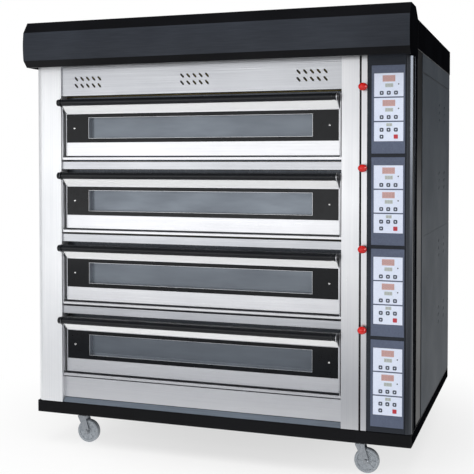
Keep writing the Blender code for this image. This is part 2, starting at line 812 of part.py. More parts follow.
def make_insulation():
    """The rock-wool block round the chambers, standing on the base."""
    room = 0.003
    block = box(
        (OPENING_L - 0.060, FLANGE_FACE + 0.010, BASE_TOP + GAP),
        (OPENING_R + 0.060, CAVITY_BACK + 0.130, deck_level(1) + CAVITY_TOP + 0.120),
    )
    pockets = [
        box(
            (CAVITY_L - room, FLANGE_FACE - 0.01, deck_level(n) + CAVITY_FLOOR - room),
            (CAVITY_R + room, CAVITY_BACK + 0.040, deck_level(n) + CAVITY_TOP + room),
        )
        for n in range(1, DECKS + 1)
    ]
    part("insulation", cut(block, *pockets), "rock_wool")


# ---- casters -----------------------------------------------------------------------
def make_caster(name, x, y):
    """A swivel fork under the base and a plastic wheel on its axle, the wheel trailing along X."""
    wheel_x = x + TRAIL
    top = BASE_BOTTOM - GAP
    swivel = axis_empty(f"caster_{name}_swivel", (x, y, top))
    head = cylinder((x, y, top - 0.010), (0, 0, 1), 0.027, 0.020, 24)
    crown = box((x - 0.026, y - 0.0225, top - 0.027), (x + 0.044, y + 0.0225, top - 0.018))
    leg_outline = [
        (x - 0.025, top - 0.022), (x + 0.043, top - 0.022),
        (wheel_x + 0.012, WHEEL_R - 0.006), (wheel_x + 0.004, WHEEL_R - 0.012),
        (wheel_x - 0.008, WHEEL_R - 0.010),
    ]
    legs = [
        prism(leg_outline, "Y", y + s * 0.0195 - 0.0015, y + s * 0.0195 + 0.0015)
        for s in (-1, 1)
    ]
    axle = cylinder((wheel_x, y, WHEEL_R), (0, 1, 0), 0.006, 0.050, 16)
    fork = join(head, crown, *legs, axle)
    part(f"caster_fork_{name}", fork, "zinc", swivel.location, swivel)
    half = WHEEL_W / 2
    bore = 0.0066
    profile = [
        (bore, half), (0.016, half), (0.022, half - 0.003), (WHEEL_R - 0.005, half - 0.001),
        (WHEEL_R, half - 0.006), (WHEEL_R, -half + 0.006), (WHEEL_R - 0.005, -half + 0.001),
        (0.022, -half + 0.003), (0.016, -half), (bore, -half), (bore, half),
    ]
    hub = (wheel_x, y, WHEEL_R)
    part(
        f"caster_wheel_{name}", turned(profile, hub, (0, 1, 0), 24),
        "grey_plastic", hub, swivel,
    )


def main():
    make_base()
    make_left_column()
    make_right_column()
    make_strips()
    make_vent_panel()
    make_side_panel("left_side_panel", LEFT, 1, FRONT + 0.060 + GAP)
    make_side_panel("right_side_panel", RIGHT, -1, FRONT + CONTROL_DEPTH + GAP)
    make_rear_panel()
    make_roof()
    make_hood()
    make_control_housing()
    make_corner_post()
    make_control_panels()
    make_decks()
    make_insulation()
    for name, place in CASTERS.items():
        make_caster(name, *place)


main()
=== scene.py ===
# %% [markdown]
# # A four-deck bakery oven
#
# A deck oven is a stack of low baking chambers, each with its own drop-down door, stone
# hearth and heating elements, inside one stainless and painted casing on casters. The frame
# holds every part at its real size in metres. This lesson dresses that frame: it gives each
# part its finish, and remakes the pieces that need rounder edges or finer detail.

# %% Load the frame
import math

import bmesh
import bpy
from mathutils import Matrix, Vector


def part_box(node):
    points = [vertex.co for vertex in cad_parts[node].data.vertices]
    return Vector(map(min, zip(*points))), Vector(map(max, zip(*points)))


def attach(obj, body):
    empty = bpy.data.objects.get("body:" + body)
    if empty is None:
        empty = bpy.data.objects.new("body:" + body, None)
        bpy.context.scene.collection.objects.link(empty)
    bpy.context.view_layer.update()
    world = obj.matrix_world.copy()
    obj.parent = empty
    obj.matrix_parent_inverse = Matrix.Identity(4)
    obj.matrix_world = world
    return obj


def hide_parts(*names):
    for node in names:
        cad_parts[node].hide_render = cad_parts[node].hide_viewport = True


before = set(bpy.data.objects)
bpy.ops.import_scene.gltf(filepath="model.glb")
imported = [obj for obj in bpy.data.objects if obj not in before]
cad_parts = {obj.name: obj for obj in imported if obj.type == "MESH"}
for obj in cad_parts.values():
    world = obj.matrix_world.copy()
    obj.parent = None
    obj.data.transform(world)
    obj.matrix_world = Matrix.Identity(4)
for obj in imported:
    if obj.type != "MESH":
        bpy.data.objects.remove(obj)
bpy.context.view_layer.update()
scene = bpy.context.scene
MM = 0.001

# %% [markdown]
# ## Places on the oven
#
# Every place below is read from a part of the frame, so the pieces made here land on it.
# A deck's heights are counted from the top edge of its door glass, because the four decks
# are the same module placed four times.

# %% Places
DECKS = (1, 2, 3, 4)
CORNERS = ("front_left", "front_right", "rear_left", "rear_right")
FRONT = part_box("left_column")[0].y
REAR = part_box("rear_panel")[1].y
OPENING_L, OPENING_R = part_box("deck_strip_1")[0].x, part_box("deck_strip_1")[1].x
LEVEL = {n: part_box(f"door_glass_{n}")[1].z + 0.5 * MM for n in DECKS}
BASE_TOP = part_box("left_column")[0].z
print("deck pitch", round(LEVEL[1] - LEVEL[2], 3), "m, column face at y", round(FRONT, 3))

# %% [markdown]
# ## Camera, room and light
#
# A product like this is lit by large soft panels. The big one stands front left, where the
# flat steel front mirrors it towards the camera, so the upper decks look almost white. The
# lower ones mirror the floor and look greyer.
#
# Steel and gloss paint show what stands round them. So the room is grey with a dark back and
# ceiling, and a white screen stands behind the oven. That room is seen only in reflections:
# looked at directly, the background is plain white.

# %% Camera
LENS_MM, SENSOR_MM, SHIFT_UP = 69.95, 36.0, -0.1044
CAMERA_AT, TILT_DOWN, TURN = (1.3263, -4.0864, 1.2337), 1.60, 19.09
camera = bpy.data.objects.new("camera", bpy.data.cameras.new("camera"))
camera.data.lens = LENS_MM
camera.data.sensor_width = SENSOR_MM
camera.data.shift_y = SHIFT_UP
camera.location = CAMERA_AT
camera.rotation_euler = (math.radians(90 - TILT_DOWN), 0, math.radians(TURN))
scene.collection.objects.link(camera)
scene.camera = camera
print("camera", tuple(round(v, 2) for v in camera.location))


# %% Colours and nodes
def colour(code):
    """An sRGB hex code as a linear colour with alpha."""
    channels = [int(code[n:n + 2], 16) / 255 for n in (1, 3, 5)]
    return (*(c / 12.92 if c <= 0.04045 else ((c + 0.055) / 1.055) ** 2.4 for c in channels), 1)


def add(tree, kind, inputs=None, **settings):
    """Adds a node, sets its properties, and fills or links its inputs."""
    node = tree.nodes.new(kind)
    for name, value in settings.items():
        setattr(node, name, value)
    for name, value in (inputs or {}).items():
        socket = node.inputs[name]
        if isinstance(value, bpy.types.NodeSocket):
            tree.links.new(value, socket)
        else:
            socket.default_value = value
    return node


def span(tree, value, given, wanted=(0.0, 1.0), kind="SMOOTHSTEP"):
    """Carries a value from one (start, end) to another, by default as a smooth step."""
    inputs = {0: value, 1: given[0], 2: given[1], 3: wanted[0], 4: wanted[1]}
    return add(tree, "ShaderNodeMapRange", inputs, interpolation_type=kind).outputs[0]


def mix(tree, share, a, b, kind="FLOAT"):
    """Mixes two numbers, or with kind RGBA two colours."""
    first, out = (6, 2) if kind == "RGBA" else (2, 0)
    inputs = {0: share, first: a, first + 1: b}
    return add(tree, "ShaderNodeMix", inputs, data_type=kind).outputs[out]


def reckon(tree, operation, a, b):
    """Two numbers put through a math node."""
    return add(tree, "ShaderNodeMath", {0: a, 1: b}, operation=operation).outputs[0]


# %% Room
WALLS, BACK, SCREEN, CEILING = 0.50, 0.05, 1.0, 0.06
SCREEN_WAY, SCREEN_EDGE = (-0.327, 0.945, 0.0), (0.915, 0.950)
BACK_EDGE, CEILING_EDGE = (0.0, 0.7), (0.40, 0.80)
world = bpy.data.worlds.new("grey_room")
world.use_nodes = True
scene.world = world
scene.view_settings.view_transform = "Standard"
room = world.node_tree
direction = add(room, "ShaderNodeTexCoord").outputs["Generated"]
way = add(room, "ShaderNodeSeparateXYZ", {0: direction}).outputs
facing_screen = add(room, "ShaderNodeVectorMath", {0: direction, 1: SCREEN_WAY},
                    operation="DOT_PRODUCT").outputs["Value"]
walls = span(room, way["Y"], BACK_EDGE, (WALLS, BACK))
screen = span(room, facing_screen, SCREEN_EDGE, (walls, SCREEN))
ceiling = span(room, way["Z"], CEILING_EDGE, (1.0, CEILING))
strength = reckon(room, "MULTIPLY", screen, ceiling)
seen = add(room, "ShaderNodeLightPath").outputs["Is Camera Ray"]
shown = mix(room, seen, strength, SCREEN)
background = room.nodes["Background"]
background.inputs["Color"].default_value = colour("#ffffff")
room.links.new(shown, background.inputs["Strength"])
print("room", world.name)


# %% Soft panels
def soft_panel(name, place, aim, size, watts, mirrored=True, lighting=True):
    """A rectangular light. One that isn't mirrored lights paint and floor, not metal; one
    that isn't lighting only draws its own reflection."""
    light = bpy.data.lights.new(name, "AREA")
    light.shape = "RECTANGLE"
    light.size, light.size_y = size
    light.energy = watts
    lamp = bpy.data.objects.new(name, light)
    lamp.location = place
    lamp.rotation_euler = (Vector(aim) - Vector(place)).to_track_quat("-Z", "Y").to_euler()
    lamp.visible_glossy = mirrored
    lamp.visible_diffuse = lighting
    scene.collection.objects.link(lamp)


soft_panel("panel_front_left", (-2.1, -5.4, 1.30), (-0.3, 0, 1.1), (4.2, 2.05), 32)
soft_panel("panel_right", (4.0, -1.2, 1.9), (0.8, -0.5, 1.5), (4.0, 1.5), 150, lighting=False)
soft_panel("panel_overhead", (0, -2.2, 4.8), (0, -1.4, 0), (5.0, 4.0), 170, mirrored=False)
soft_panel("panel_front", (-0.6, -5.6, 2.6), (0, 0, 0.9), (3.0, 2.0), 30, mirrored=False)
soft_panel("panel_low", (-0.3, -2.6, 0.3), (0, -0.6, 1.3), (3.0, 0.8), 13, mirrored=False)
soft_panel("panel_left", (-4.8, -0.5, 3.2), (-0.5, 0, 0.3), (3.0, 3.0), 70, mirrored=False)

# %% Floor: one wide disc
FLOOR_RADIUS = 80
floor_mesh = bpy.data.meshes.new("floor")
floor_shape = bmesh.new()
bmesh.ops.create_circle(floor_shape, cap_ends=True, segments=96, radius=FLOOR_RADIUS)
floor_shape.to_mesh(floor_mesh)
floor_shape.free()
floor = bpy.data.objects.new("floor", floor_mesh)
scene.collection.objects.link(floor)
print(len(bpy.data.lights), "soft panels")

# %% [markdown]
# ## Finishes
#
# Most of the oven is a few real finishes: brushed stainless, satin powder coat, printed
# glass, phenolic plastic. Each is a Principled shader fed by noise that is measured in
# millimetres on the object, so the same brushing runs across neighbouring sheets. One
# function makes the shared part: a pattern stretched to the size of the real grain, which
# moves the colour, the roughness and a slight bump together.


# %% The shared finish
TONE_SPAN, SHINE_SPAN = (0.32, 0.68), (0.3, 0.7)


def finish(name, dark, light, grain_mm, rough, metallic=0.0, bump=0.05, blotch=0.35, **sockets):
    """A material whose colour and roughness follow a noise of the given grain size, with
    broad blotches over it. grain_mm is (x, y, z); rough is (least, most)."""
    material = bpy.data.materials.new(name)
    material.use_nodes = True
    tree = material.node_tree
    shader = tree.nodes["Principled BSDF"]
    place = add(tree, "ShaderNodeTexCoord").outputs["Object"]
    scale = tuple(1 / (size * MM) for size in grain_mm)
    laid = add(tree, "ShaderNodeMapping", {"Vector": place, "Scale": scale}).outputs[0]
    grain = add(tree, "ShaderNodeTexNoise",
                {"Vector": laid, "Scale": 1.0, "Detail": 3.0, "Roughness": 0.6}).outputs[0]
    broad = add(tree, "ShaderNodeTexNoise",
                {"Vector": place, "Scale": 4.0, "Detail": 2.0, "Roughness": 0.5}).outputs[0]
    mixed = mix(tree, blotch, grain, broad)
    tone = span(tree, mixed, TONE_SPAN, kind="LINEAR")
    paint = mix(tree, tone, colour(dark), colour(light), "RGBA")
    shine = span(tree, mixed, SHINE_SPAN, rough[::-1], "LINEAR")
    relief = add(tree, "ShaderNodeBump", {"Height": grain, "Strength": bump, "Distance": 1 * MM})
    tree.links.new(paint, shader.inputs["Base Color"])
    tree.links.new(shine, shader.inputs["Roughness"])
    tree.links.new(relief.outputs[0], shader.inputs["Normal"])
    shader.inputs["Metallic"].default_value = metallic
    for socket, value in sockets.items():
        shader.inputs[socket.replace("_", " ")].default_value = value
    return material


# %% [markdown]
# ### Stainless steel
#
# The doors and strips are 430 stainless brushed along their length, and the columns are
# brushed upwards. Real brushing lines are about 0.1 mm apart, too fine to show across a
# whole oven, so they are drawn about 3 mm apart and faint. Inside the chambers the same
# steel has lost its shine to heat and turned a warm grey.

# %% Steel
ALONG, UP, SATIN = (420, 3, 3), (3, 3, 420), (0.27, 0.34)
BRUSHED = {"metallic": 1.0, "blotch": 0.4}
# Brushed stainless, grain along the deck: bright, with long fine streaks.
brushed_along = finish(
    "brushed_stainless_along", "#d0d1d5", "#dadbde", ALONG, SATIN, bump=0.30, **BRUSHED)
# Brushed stainless, grain upwards: the same sheet turned, on the columns.
brushed_up = finish(
    "brushed_stainless_up", "#cbccd0", "#d6d7d9", UP, SATIN, bump=0.02, **BRUSHED)
# The same steel painted greyer, a shaded copy for painted shade, on the strips and on the vent
# panel under the hood.
brushed_painted_shade = finish(
    "brushed_stainless_along_painted_shade", "#b2b4b9", "#bfc1c5", ALONG, SATIN,
    bump=0.30, **BRUSHED)
# Smoked steel, dark and satin, on the corner post. On the flange behind each door the same dark is
# painted shade, for the shadowed gap round the door.
smoked_steel_and_shade = finish(
    "smoked_steel_up_and_painted_shade", "#3c3f44", "#4b4e53", UP, (0.24, 0.32), bump=0.02, **BRUSHED)
# Rolled steel that baking has tinted: dull, warm blotches.
heat_dulled = finish(
    "heat_dulled_steel", "#4a4642", "#6c6862", (60, 60, 12),
    (0.40, 0.60), metallic=1.0, bump=0.10, blotch=0.6)
# Zinc plate on forks, rods and rear screws: bluish white, slightly spangled.
zinc = finish(
    "bright_zinc_plate", "#7d8288", "#a4a8ad", (6, 6, 6),
    (0.24, 0.40), metallic=1.0, bump=0.08, blotch=0.3)
# Polished stainless, on the screws that hold the door glass.
polished = finish(
    "polished_stainless", "#dcdcdc", "#f0f0ee", (40, 3, 3), (0.10, 0.18), metallic=1.0, bump=0.02)
# Near-white, barely metallic steel on the lip over each handle: a painted reflection of the bright
# floor that the sloping lip mirrors.
lip_painted_reflection = finish(
    "lip_steel_painted_reflection", "#f8f9f9", "#fefefe", (3, 3, 3), (0.46, 0.56), bump=0.05)
# The left column catches the side light: the same brushing painted whiter and less metallic, a lit
# copy of the steel for painted light.
brushed_painted_lit = finish(
    "brushed_stainless_up_painted_lit", "#dcdee1", "#e8e9eb", UP,
    (0.34, 0.42), metallic=0.65, bump=0.02, blotch=0.4)
# Tubular element sheath, oxidised by its own heat: nearly black brown.
sheath = finish(
    "oxidised_element_sheath", "#2b2523", "#5a4c44", (14, 14, 14),
    (0.45, 0.70), metallic=0.7, bump=0.2)

# %% [markdown]
# ### Paint
#
# The hood, roof, base and control housing are powder coated. Powder melts into a skin with
# the faint waviness called orange peel, about 2 mm from crest to crest.

# %% Paint
# Satin black powder coat: deep black, soft highlights.
black_coat = finish(
    "satin_black_powder_coat", "#08080a", "#111215", (4, 4, 4),
    (0.34, 0.46), bump=0.08, blotch=0.5, Specular_IOR_Level=0.10)
# The same black in a matt powder, on the ends of the hood, roof and base.
matt_black = finish(
    "matt_black_powder_coat", "#08080a", "#101114", (4, 4, 4),
    (0.70, 0.80), bump=0.08, blotch=0.5, Specular_IOR_Level=0.0)
# Graphite powder coat round the control plates, a dark blue grey. The hood's face takes it too as a
# painted sheen: the face is the same black sheet as its chamfers, painted lighter where it mirrors
# the room.
graphite_coat_and_sheen = finish(
    "graphite_coat_and_painted_sheen", "#25282e", "#30343b", (90, 4, 4),
    (0.34, 0.46), bump=0.05, blotch=0.5, Specular_IOR_Level=0.08)
# Slate grey powder coat on the casing's sides.
slate_coat = finish(
    "slate_powder_coat", "#3f454c", "#4a5057", (5, 5, 60),
    (0.50, 0.62), bump=0.08, blotch=0.5, Specular_IOR_Level=0.05)
# Blue-grey sheet on the crumb ledge: a painted reflection of the steel plinth in the black ledge,
# lighter in broad blotches.
ledge_painted_reflection = finish(
    "ledge_painted_reflection_coat", "#5f6873", "#727c88", (120, 6, 6),
    (0.36, 0.48), metallic=0.2, bump=0.06, blotch=0.5)
# Matt blue-grey paint behind the keypads.
plate_paint = finish(
    "blue_grey_matt_paint", "#454e63", "#525c73", (5, 5, 5), (0.48, 0.60), bump=0.08)

# %% [markdown]
# ### Glass, plastic, stone and wool
#
# The door glass is toughened float glass with a black ceramic border fired onto its back,
# so the border is a deep gloss black. The window pane behind it has a heat-reflecting metal
# coating, which is why it looks like a grey mirror from outside.

# %% Glass, plastic, stone and wool
# Black-printed toughened glass: near-perfect gloss over black.
printed_glass = finish(
    "black_printed_glass", "#0b0c0f", "#131518", (30, 30, 30),
    (0.08, 0.16), bump=0.01, Specular_IOR_Level=0.18)
# Heat-reflecting glass: a thin metal coat on the pane, a grey-blue mirror.
coated_glass = finish(
    "heat_reflecting_glass", "#5a6068", "#6c737b", (300, 60, 60),
    (0.16, 0.26), metallic=0.6, bump=0.01)
# Moulded phenolic on the handles: black with a semi-gloss skin.
phenolic = finish(
    "moulded_black_phenolic", "#0c0d10", "#17191d", (60, 5, 5),
    (0.24, 0.34), bump=0.05, Specular_IOR_Level=0.30)
# Cast cordierite hearth: pale, sandy, with darker fired specks.
cordierite = finish(
    "cast_cordierite", "#8f7d63", "#c3b08f", (3, 3, 3), (0.80, 0.95), bump=0.5, blotch=0.3)
# Glossy moulded ABS on the damper pulls.
red_abs = finish(
    "gloss_red_abs", "#b80f0c", "#d3201a", (8, 8, 8), (0.14, 0.24), bump=0.02)
# Cast nylon wheels: a milky grey that scuffs duller.
nylon = finish(
    "cast_nylon", "#80868d", "#a0a6ac", (7, 7, 7), (0.36, 0.55), bump=0.12)
# Rock wool: matted yellow-brown fibre.
rock_wool = finish(
    "matted_rock_wool", "#7d6f47", "#a59764", (2, 12, 2), (0.90, 1.0), bump=0.8)
# Screen-printed polyester film of the keypads: cool white, finely textured.
keypad_film = finish(
    "printed_polyester_film", "#c9d1e4", "#dae1f0", (3, 3, 3), (0.40, 0.52), bump=0.06)
# Dark ink on that film.
key_ink = finish(
    "printed_key_ink", "#2f3644", "#414a5a", (3, 3, 3), (0.40, 0.50), bump=0.06)
# Red ink on the key that switches the deck on.
red_ink = finish(
    "printed_red_ink", "#a81c2b", "#bb2f3e", (3, 3, 3), (0.40, 0.50), bump=0.06)
# Smoked acrylic over the displays: a dull red brown or grey green.
red_smoke = finish(
    "smoked_red_acrylic", "#b48d89", "#c59e99", (6, 6, 6), (0.22, 0.32), bump=0.02)
green_smoke = finish(
    "smoked_green_acrylic", "#a3b0ac", "#b4bfbb", (6, 6, 6), (0.22, 0.32), bump=0.02)
# The unlit bars of the number display, seen through the smoked window.
unlit_bar = finish(
    "unlit_display_bar", "#8d6f70", "#987a7a", (4, 4, 4), (0.35, 0.45), bump=0.02)
# Pale matt paint of the floor, barely mottled.
pale_floor = finish(
    "pale_matt_floor", "#f0f0ef", "#f7f7f6", (400, 400, 400),
    (0.75, 0.85), bump=0.02, Specular_IOR_Level=0.0)
print(len(bpy.data.materials), "materials")

# %% [markdown]
# ### Floor
#
# Round the oven the floor is pale and matt and takes a faint shadow. Further off it fades
# into the white screen. A grey band in front of the oven shows only in reflections, and it
# greys the steel of the lower decks.

# %% Floor finish
FADE_SPAN, LEAST_FADE, BAND_GREY = (0.2, 1.7), 0.65, "#9a9da3"
BAND_NEAR, BAND_FAR = (-1.5, -0.9), (-2.3, -3.3)
tree = pale_floor.node_tree
shader = tree.nodes["Principled BSDF"]
place = add(tree, "ShaderNodeTexCoord").outputs["Object"]
away = add(tree, "ShaderNodeVectorMath", {0: place}, operation="LENGTH").outputs["Value"]
along = add(tree, "ShaderNodeSeparateXYZ", {0: place}).outputs["Y"]
seen = add(tree, "ShaderNodeLightPath").outputs["Is Camera Ray"]
plain = reckon(tree, "MAXIMUM", span(tree, along, BAND_NEAR), seen)
bright = reckon(tree, "MAXIMUM", plain, span(tree, along, BAND_FAR))
fade = reckon(tree, "MULTIPLY", span(tree, away, FADE_SPAN, (LEAST_FADE, 1.0)), bright)
own_colour = shader.inputs["Base Color"].links[0].from_socket
floor_paint = mix(tree, plain, colour(BAND_GREY), own_colour, "RGBA")
tree.links.new(floor_paint, shader.inputs["Base Color"])
glow = add(tree, "ShaderNodeEmission", {"Color": colour("#ffffff"), "Strength": SCREEN})
blend = add(tree, "ShaderNodeMixShader", {0: fade, 1: shader.outputs[0], 2: glow.outputs[0]})
tree.links.new(blend.outputs[0], tree.nodes["Material Output"].inputs["Surface"])
floor.data.materials.append(pale_floor)
print("floor", pale_floor.name)

# %% [markdown]
# ## Tools for making pieces
#
# A piece is built in a bmesh at its place on the oven. Flat parts are outlines pushed along
# an axis, turned parts are profiles spun round one, and folded sheet is a centre line given
# a thickness. After that a piece only needs its materials and the body that it moves with.
# Shading normals are weighed by face size, so a flat sheet stays flat beside a rounded edge.


# %% Solid shapes
def box(shape, low, high, slot=0, round_edges=0.0):
    """A box between two corners, with edges rounded by a radius."""
    low, high = Vector(low), Vector(high)
    place = Matrix.Translation((low + high) / 2) @ Matrix.Diagonal((*(high - low), 1))
    made = bmesh.ops.create_cube(shape, size=1, matrix=place)
    faces = {face for corner in made["verts"] for face in corner.link_faces}
    for face in faces:
        face.material_index = slot
    if round_edges:
        edges = list({edge for face in faces for edge in face.edges})
        bmesh.ops.bevel(
            shape, geom=edges, offset=round_edges, segments=2, profile=0.5,
            affect="EDGES", material=slot,
        )


def prism(shape, outline, along, start, end, slot=0):
    """A flat outline pushed along an axis: (y, z) along X, (x, z) along Y, (x, y) along Z."""
    spread = {
        "X": lambda a, b, c: (c, a, b),
        "Y": lambda a, b, c: (a, c, b),
        "Z": lambda a, b, c: (a, b, c),
    }[along]
    near = [shape.verts.new(spread(a, b, start)) for a, b in outline]
    far = [shape.verts.new(spread(a, b, end)) for a, b in outline]
    faces = [shape.faces.new(near), shape.faces.new(far[::-1])]
    for n in range(len(outline)):
        after = (n + 1) % len(outline)
        faces.append(shape.faces.new((near[n], far[n], far[after], near[after])))
    for face in faces:
        face.material_index = slot
    bmesh.ops.recalc_face_normals(shape, faces=faces)


def arc(centre, radius, start, end, steps):
    """Points on an arc, the angles in degrees."""
    angles = [math.radians(start + (end - start) * n / steps) for n in range(steps + 1)]
    return [(centre[0] + radius * math.cos(a), centre[1] + radius * math.sin(a)) for a in angles]


LEAST_MITRE = 0.3


def sheet_outline(line, thickness):
    """The closed outline of a folded sheet whose outer side follows a line."""
    inner = []
    for n, point in enumerate(line):
        before = Vector(line[max(n - 1, 0)])
        after = Vector(line[min(n + 1, len(line) - 1)])
        into = (Vector(point) - before).normalized() if n else None
        out = (after - Vector(point)).normalized() if n < len(line) - 1 else None
        into, out = into or out, out or into
        across = (Vector((-into.y, into.x)) + Vector((-out.y, out.x))).normalized()
        stretch = thickness / max(across.dot(Vector((-into.y, into.x))), LEAST_MITRE)
        inner.append(tuple(Vector(point) + across * stretch))
    return list(line) + inner[::-1]


def lathe(shape, profile, centre, axis, steps=40):
    """Turns (radius, height, slot) points, listed from the top down, about an axis."""
    turn = Vector((0, 0, 1)).rotation_difference(Vector(axis)).to_matrix()
    rings = []
    for radius, height, _ in profile:
        count = 1 if radius < 1e-6 else steps
        angles = [2 * math.pi * n / steps for n in range(count)]
        spots = [Vector((radius * math.cos(a), radius * math.sin(a), height)) for a in angles]
        rings.append([shape.verts.new(turn @ spot + Vector(centre)) for spot in spots])
    faces = []
    for (upper, lower), (_, _, slot) in zip(zip(rings, rings[1:]), profile):
        for n in range(steps):
            after = (n + 1) % steps
            corners = [upper[n % len(upper)], lower[n % len(lower)],
                       lower[after % len(lower)], upper[after % len(upper)]]
            face = shape.faces.new(list(dict.fromkeys(corners)))
            face.material_index = slot
            faces.append(face)
    bmesh.ops.recalc_face_normals(shape, faces=faces)


def framed_plate(shape, outer, hole, y_front, y_back, slot=0):
    """A plate in the XZ plane with a rectangular hole: outer and hole are (x0, z0, x1, z1)."""
    def ring(x0, z0, x1, z1, y):
        return [shape.verts.new((x, y, z)) for x, z in ((x0, z0), (x1, z0), (x1, z1), (x0, z1))]

    loops = [ring(*outer, y_front), ring(*hole, y_front), ring(*hole, y_back), ring(*outer, y_back)]
    faces = []
    for a, b in zip(loops, loops[1:] + loops[:1]):
        for n in range(4):
            after = (n + 1) % 4
            faces.append(shape.faces.new((a[n], b[n], b[after], a[after])))
    for face in faces:
        face.material_index = slot
    bmesh.ops.recalc_face_normals(shape, faces=faces)


# %% Finished pieces
CREASE = math.radians(32)


def piece(name, shape, materials, body, stands_for=()):
    """Turns a bmesh into a piece of the oven that moves with a body."""
    mesh = bpy.data.meshes.new(name)
    shape.to_mesh(mesh)
    shape.free()
    for material in materials:
        mesh.materials.append(material)
    mesh.shade_smooth()
    mesh.set_sharp_from_angle(angle=CREASE)
    made = bpy.data.objects.new(name, mesh)
    scene.collection.objects.link(made)
    weigh = made.modifiers.new("weigh", "WEIGHTED_NORMAL")
    weigh.keep_sharp = True
    graph = bpy.context.evaluated_depsgraph_get()
    weighed = bpy.data.meshes.new_from_object(made.evaluated_get(graph))
    made.modifiers.clear()
    made.data = weighed
    bpy.data.meshes.remove(mesh)
    weighed.name = name
    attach(made, body)
    if stands_for:
        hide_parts(*stands_for)
    return made


# %% [markdown]
# ## Casing
#
# The casing's sheets already have the right shape, but a folded edge in real sheet is never
# knife sharp, and it is the small radius that draws a bright line along it. So each sheet is
# copied, its triangles are merged into whole faces, and its edges are rounded.


# %% Rounded copies of the sheets
MERGE, FLAT, FOLD = 0.01 * MM, math.radians(0.5), math.radians(40)


def rounded_copy(node, body, width_mm, materials, choose=None):
    """A copy of a frame part with its sharp edges rounded. choose picks a face's material."""
    shape = bmesh.new()
    shape.from_mesh(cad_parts[node].data)
    bmesh.ops.remove_doubles(shape, verts=shape.verts, dist=MERGE)
    bmesh.ops.dissolve_limit(shape, angle_limit=FLAT, verts=shape.verts, edges=shape.edges)
    sharp = [edge for edge in shape.edges
             if edge.is_manifold and edge.calc_face_angle(0) > FOLD]
    for face in shape.faces:
        face.material_index = choose(face) if choose else 0
    bmesh.ops.bevel(
        shape, geom=sharp, offset=width_mm * MM, segments=2, profile=0.5,
        affect="EDGES", clamp_overlap=True,
    )
    made = piece(node + "_finished", shape, materials, body, [node])
    print(made.name, len(made.data.polygons), "faces")


# %% Which material a face of the casing gets
SEAM_L, SEAM_R, SEAM_DEPTH = OPENING_R + 69 * MM, OPENING_R + 79 * MM, 1 * MM
ROUND_DEPTH = 19.5 * MM


def seam_side(face):
    """The groove of the right column is black inside, painted shade for the dark of the recess."""
    middle = face.calc_center_median()
    return 1 if SEAM_L < middle.x < SEAM_R and middle.y > FRONT + SEAM_DEPTH else 0


def trim_side(face):
    """The trim behind the post's round is painted like the housing beside it."""
    return 1 if face.calc_center_median().y > FRONT + ROUND_DEPTH else 0


def end_side(face):
    """The faces at the left and right ends of the roof and base are matt."""
    return 1 if abs(face.normal.x) > 0.9 else 0


def housing_side(face):
    """The face round the control plates is graphite, the rest of the housing black."""
    return 1 if face.normal.y < -0.5 else 0


# %% The casing
# The left column takes the lit copy of the steel: painted light from the side.
rounded_copy("left_column", "oven", 0.5, [brushed_painted_lit])
# The right column's groove takes the black coat as painted shade.
rounded_copy("right_column", "oven", 0.5, [brushed_up, black_coat], seam_side)
rounded_copy("corner_post", "oven", 0.5, [smoked_steel_and_shade, matt_black], trim_side)
rounded_copy("plinth_panel", "oven", 0.5, [brushed_along])
# The strips and the vent panel take the greyer copy of the steel: painted shade.
for node in ("vent_panel", "deck_strip_1", "deck_strip_2", "deck_strip_3"):
    rounded_copy(node, "oven", 0.5, [brushed_painted_shade])
for node in ("base_frame", "roof_panel"):
    rounded_copy(node, "oven", 0.6, [black_coat, matt_black], end_side)
rounded_copy("control_housing", "oven", 0.6, [black_coat, graphite_coat_and_sheen],
             housing_side)
for node in ("left_side_panel", "right_side_panel", "rear_panel"):
    rounded_copy(node, "oven", 0.4, [slate_coat])
for n in DECKS:
    rounded_copy(f"control_panel_{n}", "oven", 0.6, [plate_paint])

# %% [markdown]
# ### Joint lines
#
# The side sheets are in two heights, and the joint under the roof shows as a dark line.

# %% Joint lines
side_low, side_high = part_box("right_side_panel")
JOINT_Z, JOINT_H, PROUD = 1.593, 3 * MM, 0.3 * MM
JOINT_FRONT, JOINT_BACK = side_low.y + 4 * MM, side_high.y - 30 * MM
for name, skin, out in (("left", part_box("left_side_panel")[0].x, -PROUD),
                        ("right", side_high.x, PROUD)):
    joint = bmesh.new()
    x = sorted((skin - out, skin + out))
    box(joint, (x[0], JOINT_FRONT, JOINT_Z), (x[1], JOINT_BACK, JOINT_Z + JOINT_H), 0, 0.1 * MM)
    piece(f"side_joint_{name}", joint, [black_coat], "oven")

# %% [markdown]
# ## Hood
#
# The hood is one folded sheet with a crowned face between two chamfers, closed by a plate
# at each end. The crown is only a few millimetres, but without it the face would mirror one
# flat tone. The face is painted a lighter blue grey than the black chamfers, a painted sheen
# for the room that it mirrors. It is drawn as an outline in steps round the folds, given the
# sheet's thickness and pushed along the front.

# %% Hood
hood_low, hood_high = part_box("hood")
HOOD_SHEET, END_PLATE, CROWN, FACE_STEPS = 2.0 * MM, 1.5 * MM, 5 * MM, 10
FACE_LOW, FACE_HIGH = hood_low.z + 26 * MM, hood_high.z - 45.5 * MM
LIP_Y, LIP_FLANGE, BROW_Y, CREST_Y = FRONT - 69 * MM, 12 * MM, FRONT - 63 * MM, FRONT + 50 * MM


def hood_line():
    """The outer side of the folded sheet, from the lip up over the face to the back."""
    face = []
    for n in range(FACE_STEPS + 1):
        t = n / FACE_STEPS
        bulge = CROWN * (1 - (2 * t - 1) ** 2)
        face.append((hood_low.y + CROWN - bulge, FACE_LOW + (FACE_HIGH - FACE_LOW) * t))
    return [
        (LIP_Y + LIP_FLANGE, hood_low.z), (LIP_Y, hood_low.z), *face, (BROW_Y, hood_high.z),
        (CREST_Y, hood_high.z), (hood_high.y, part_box("roof_panel")[1].z),
    ]


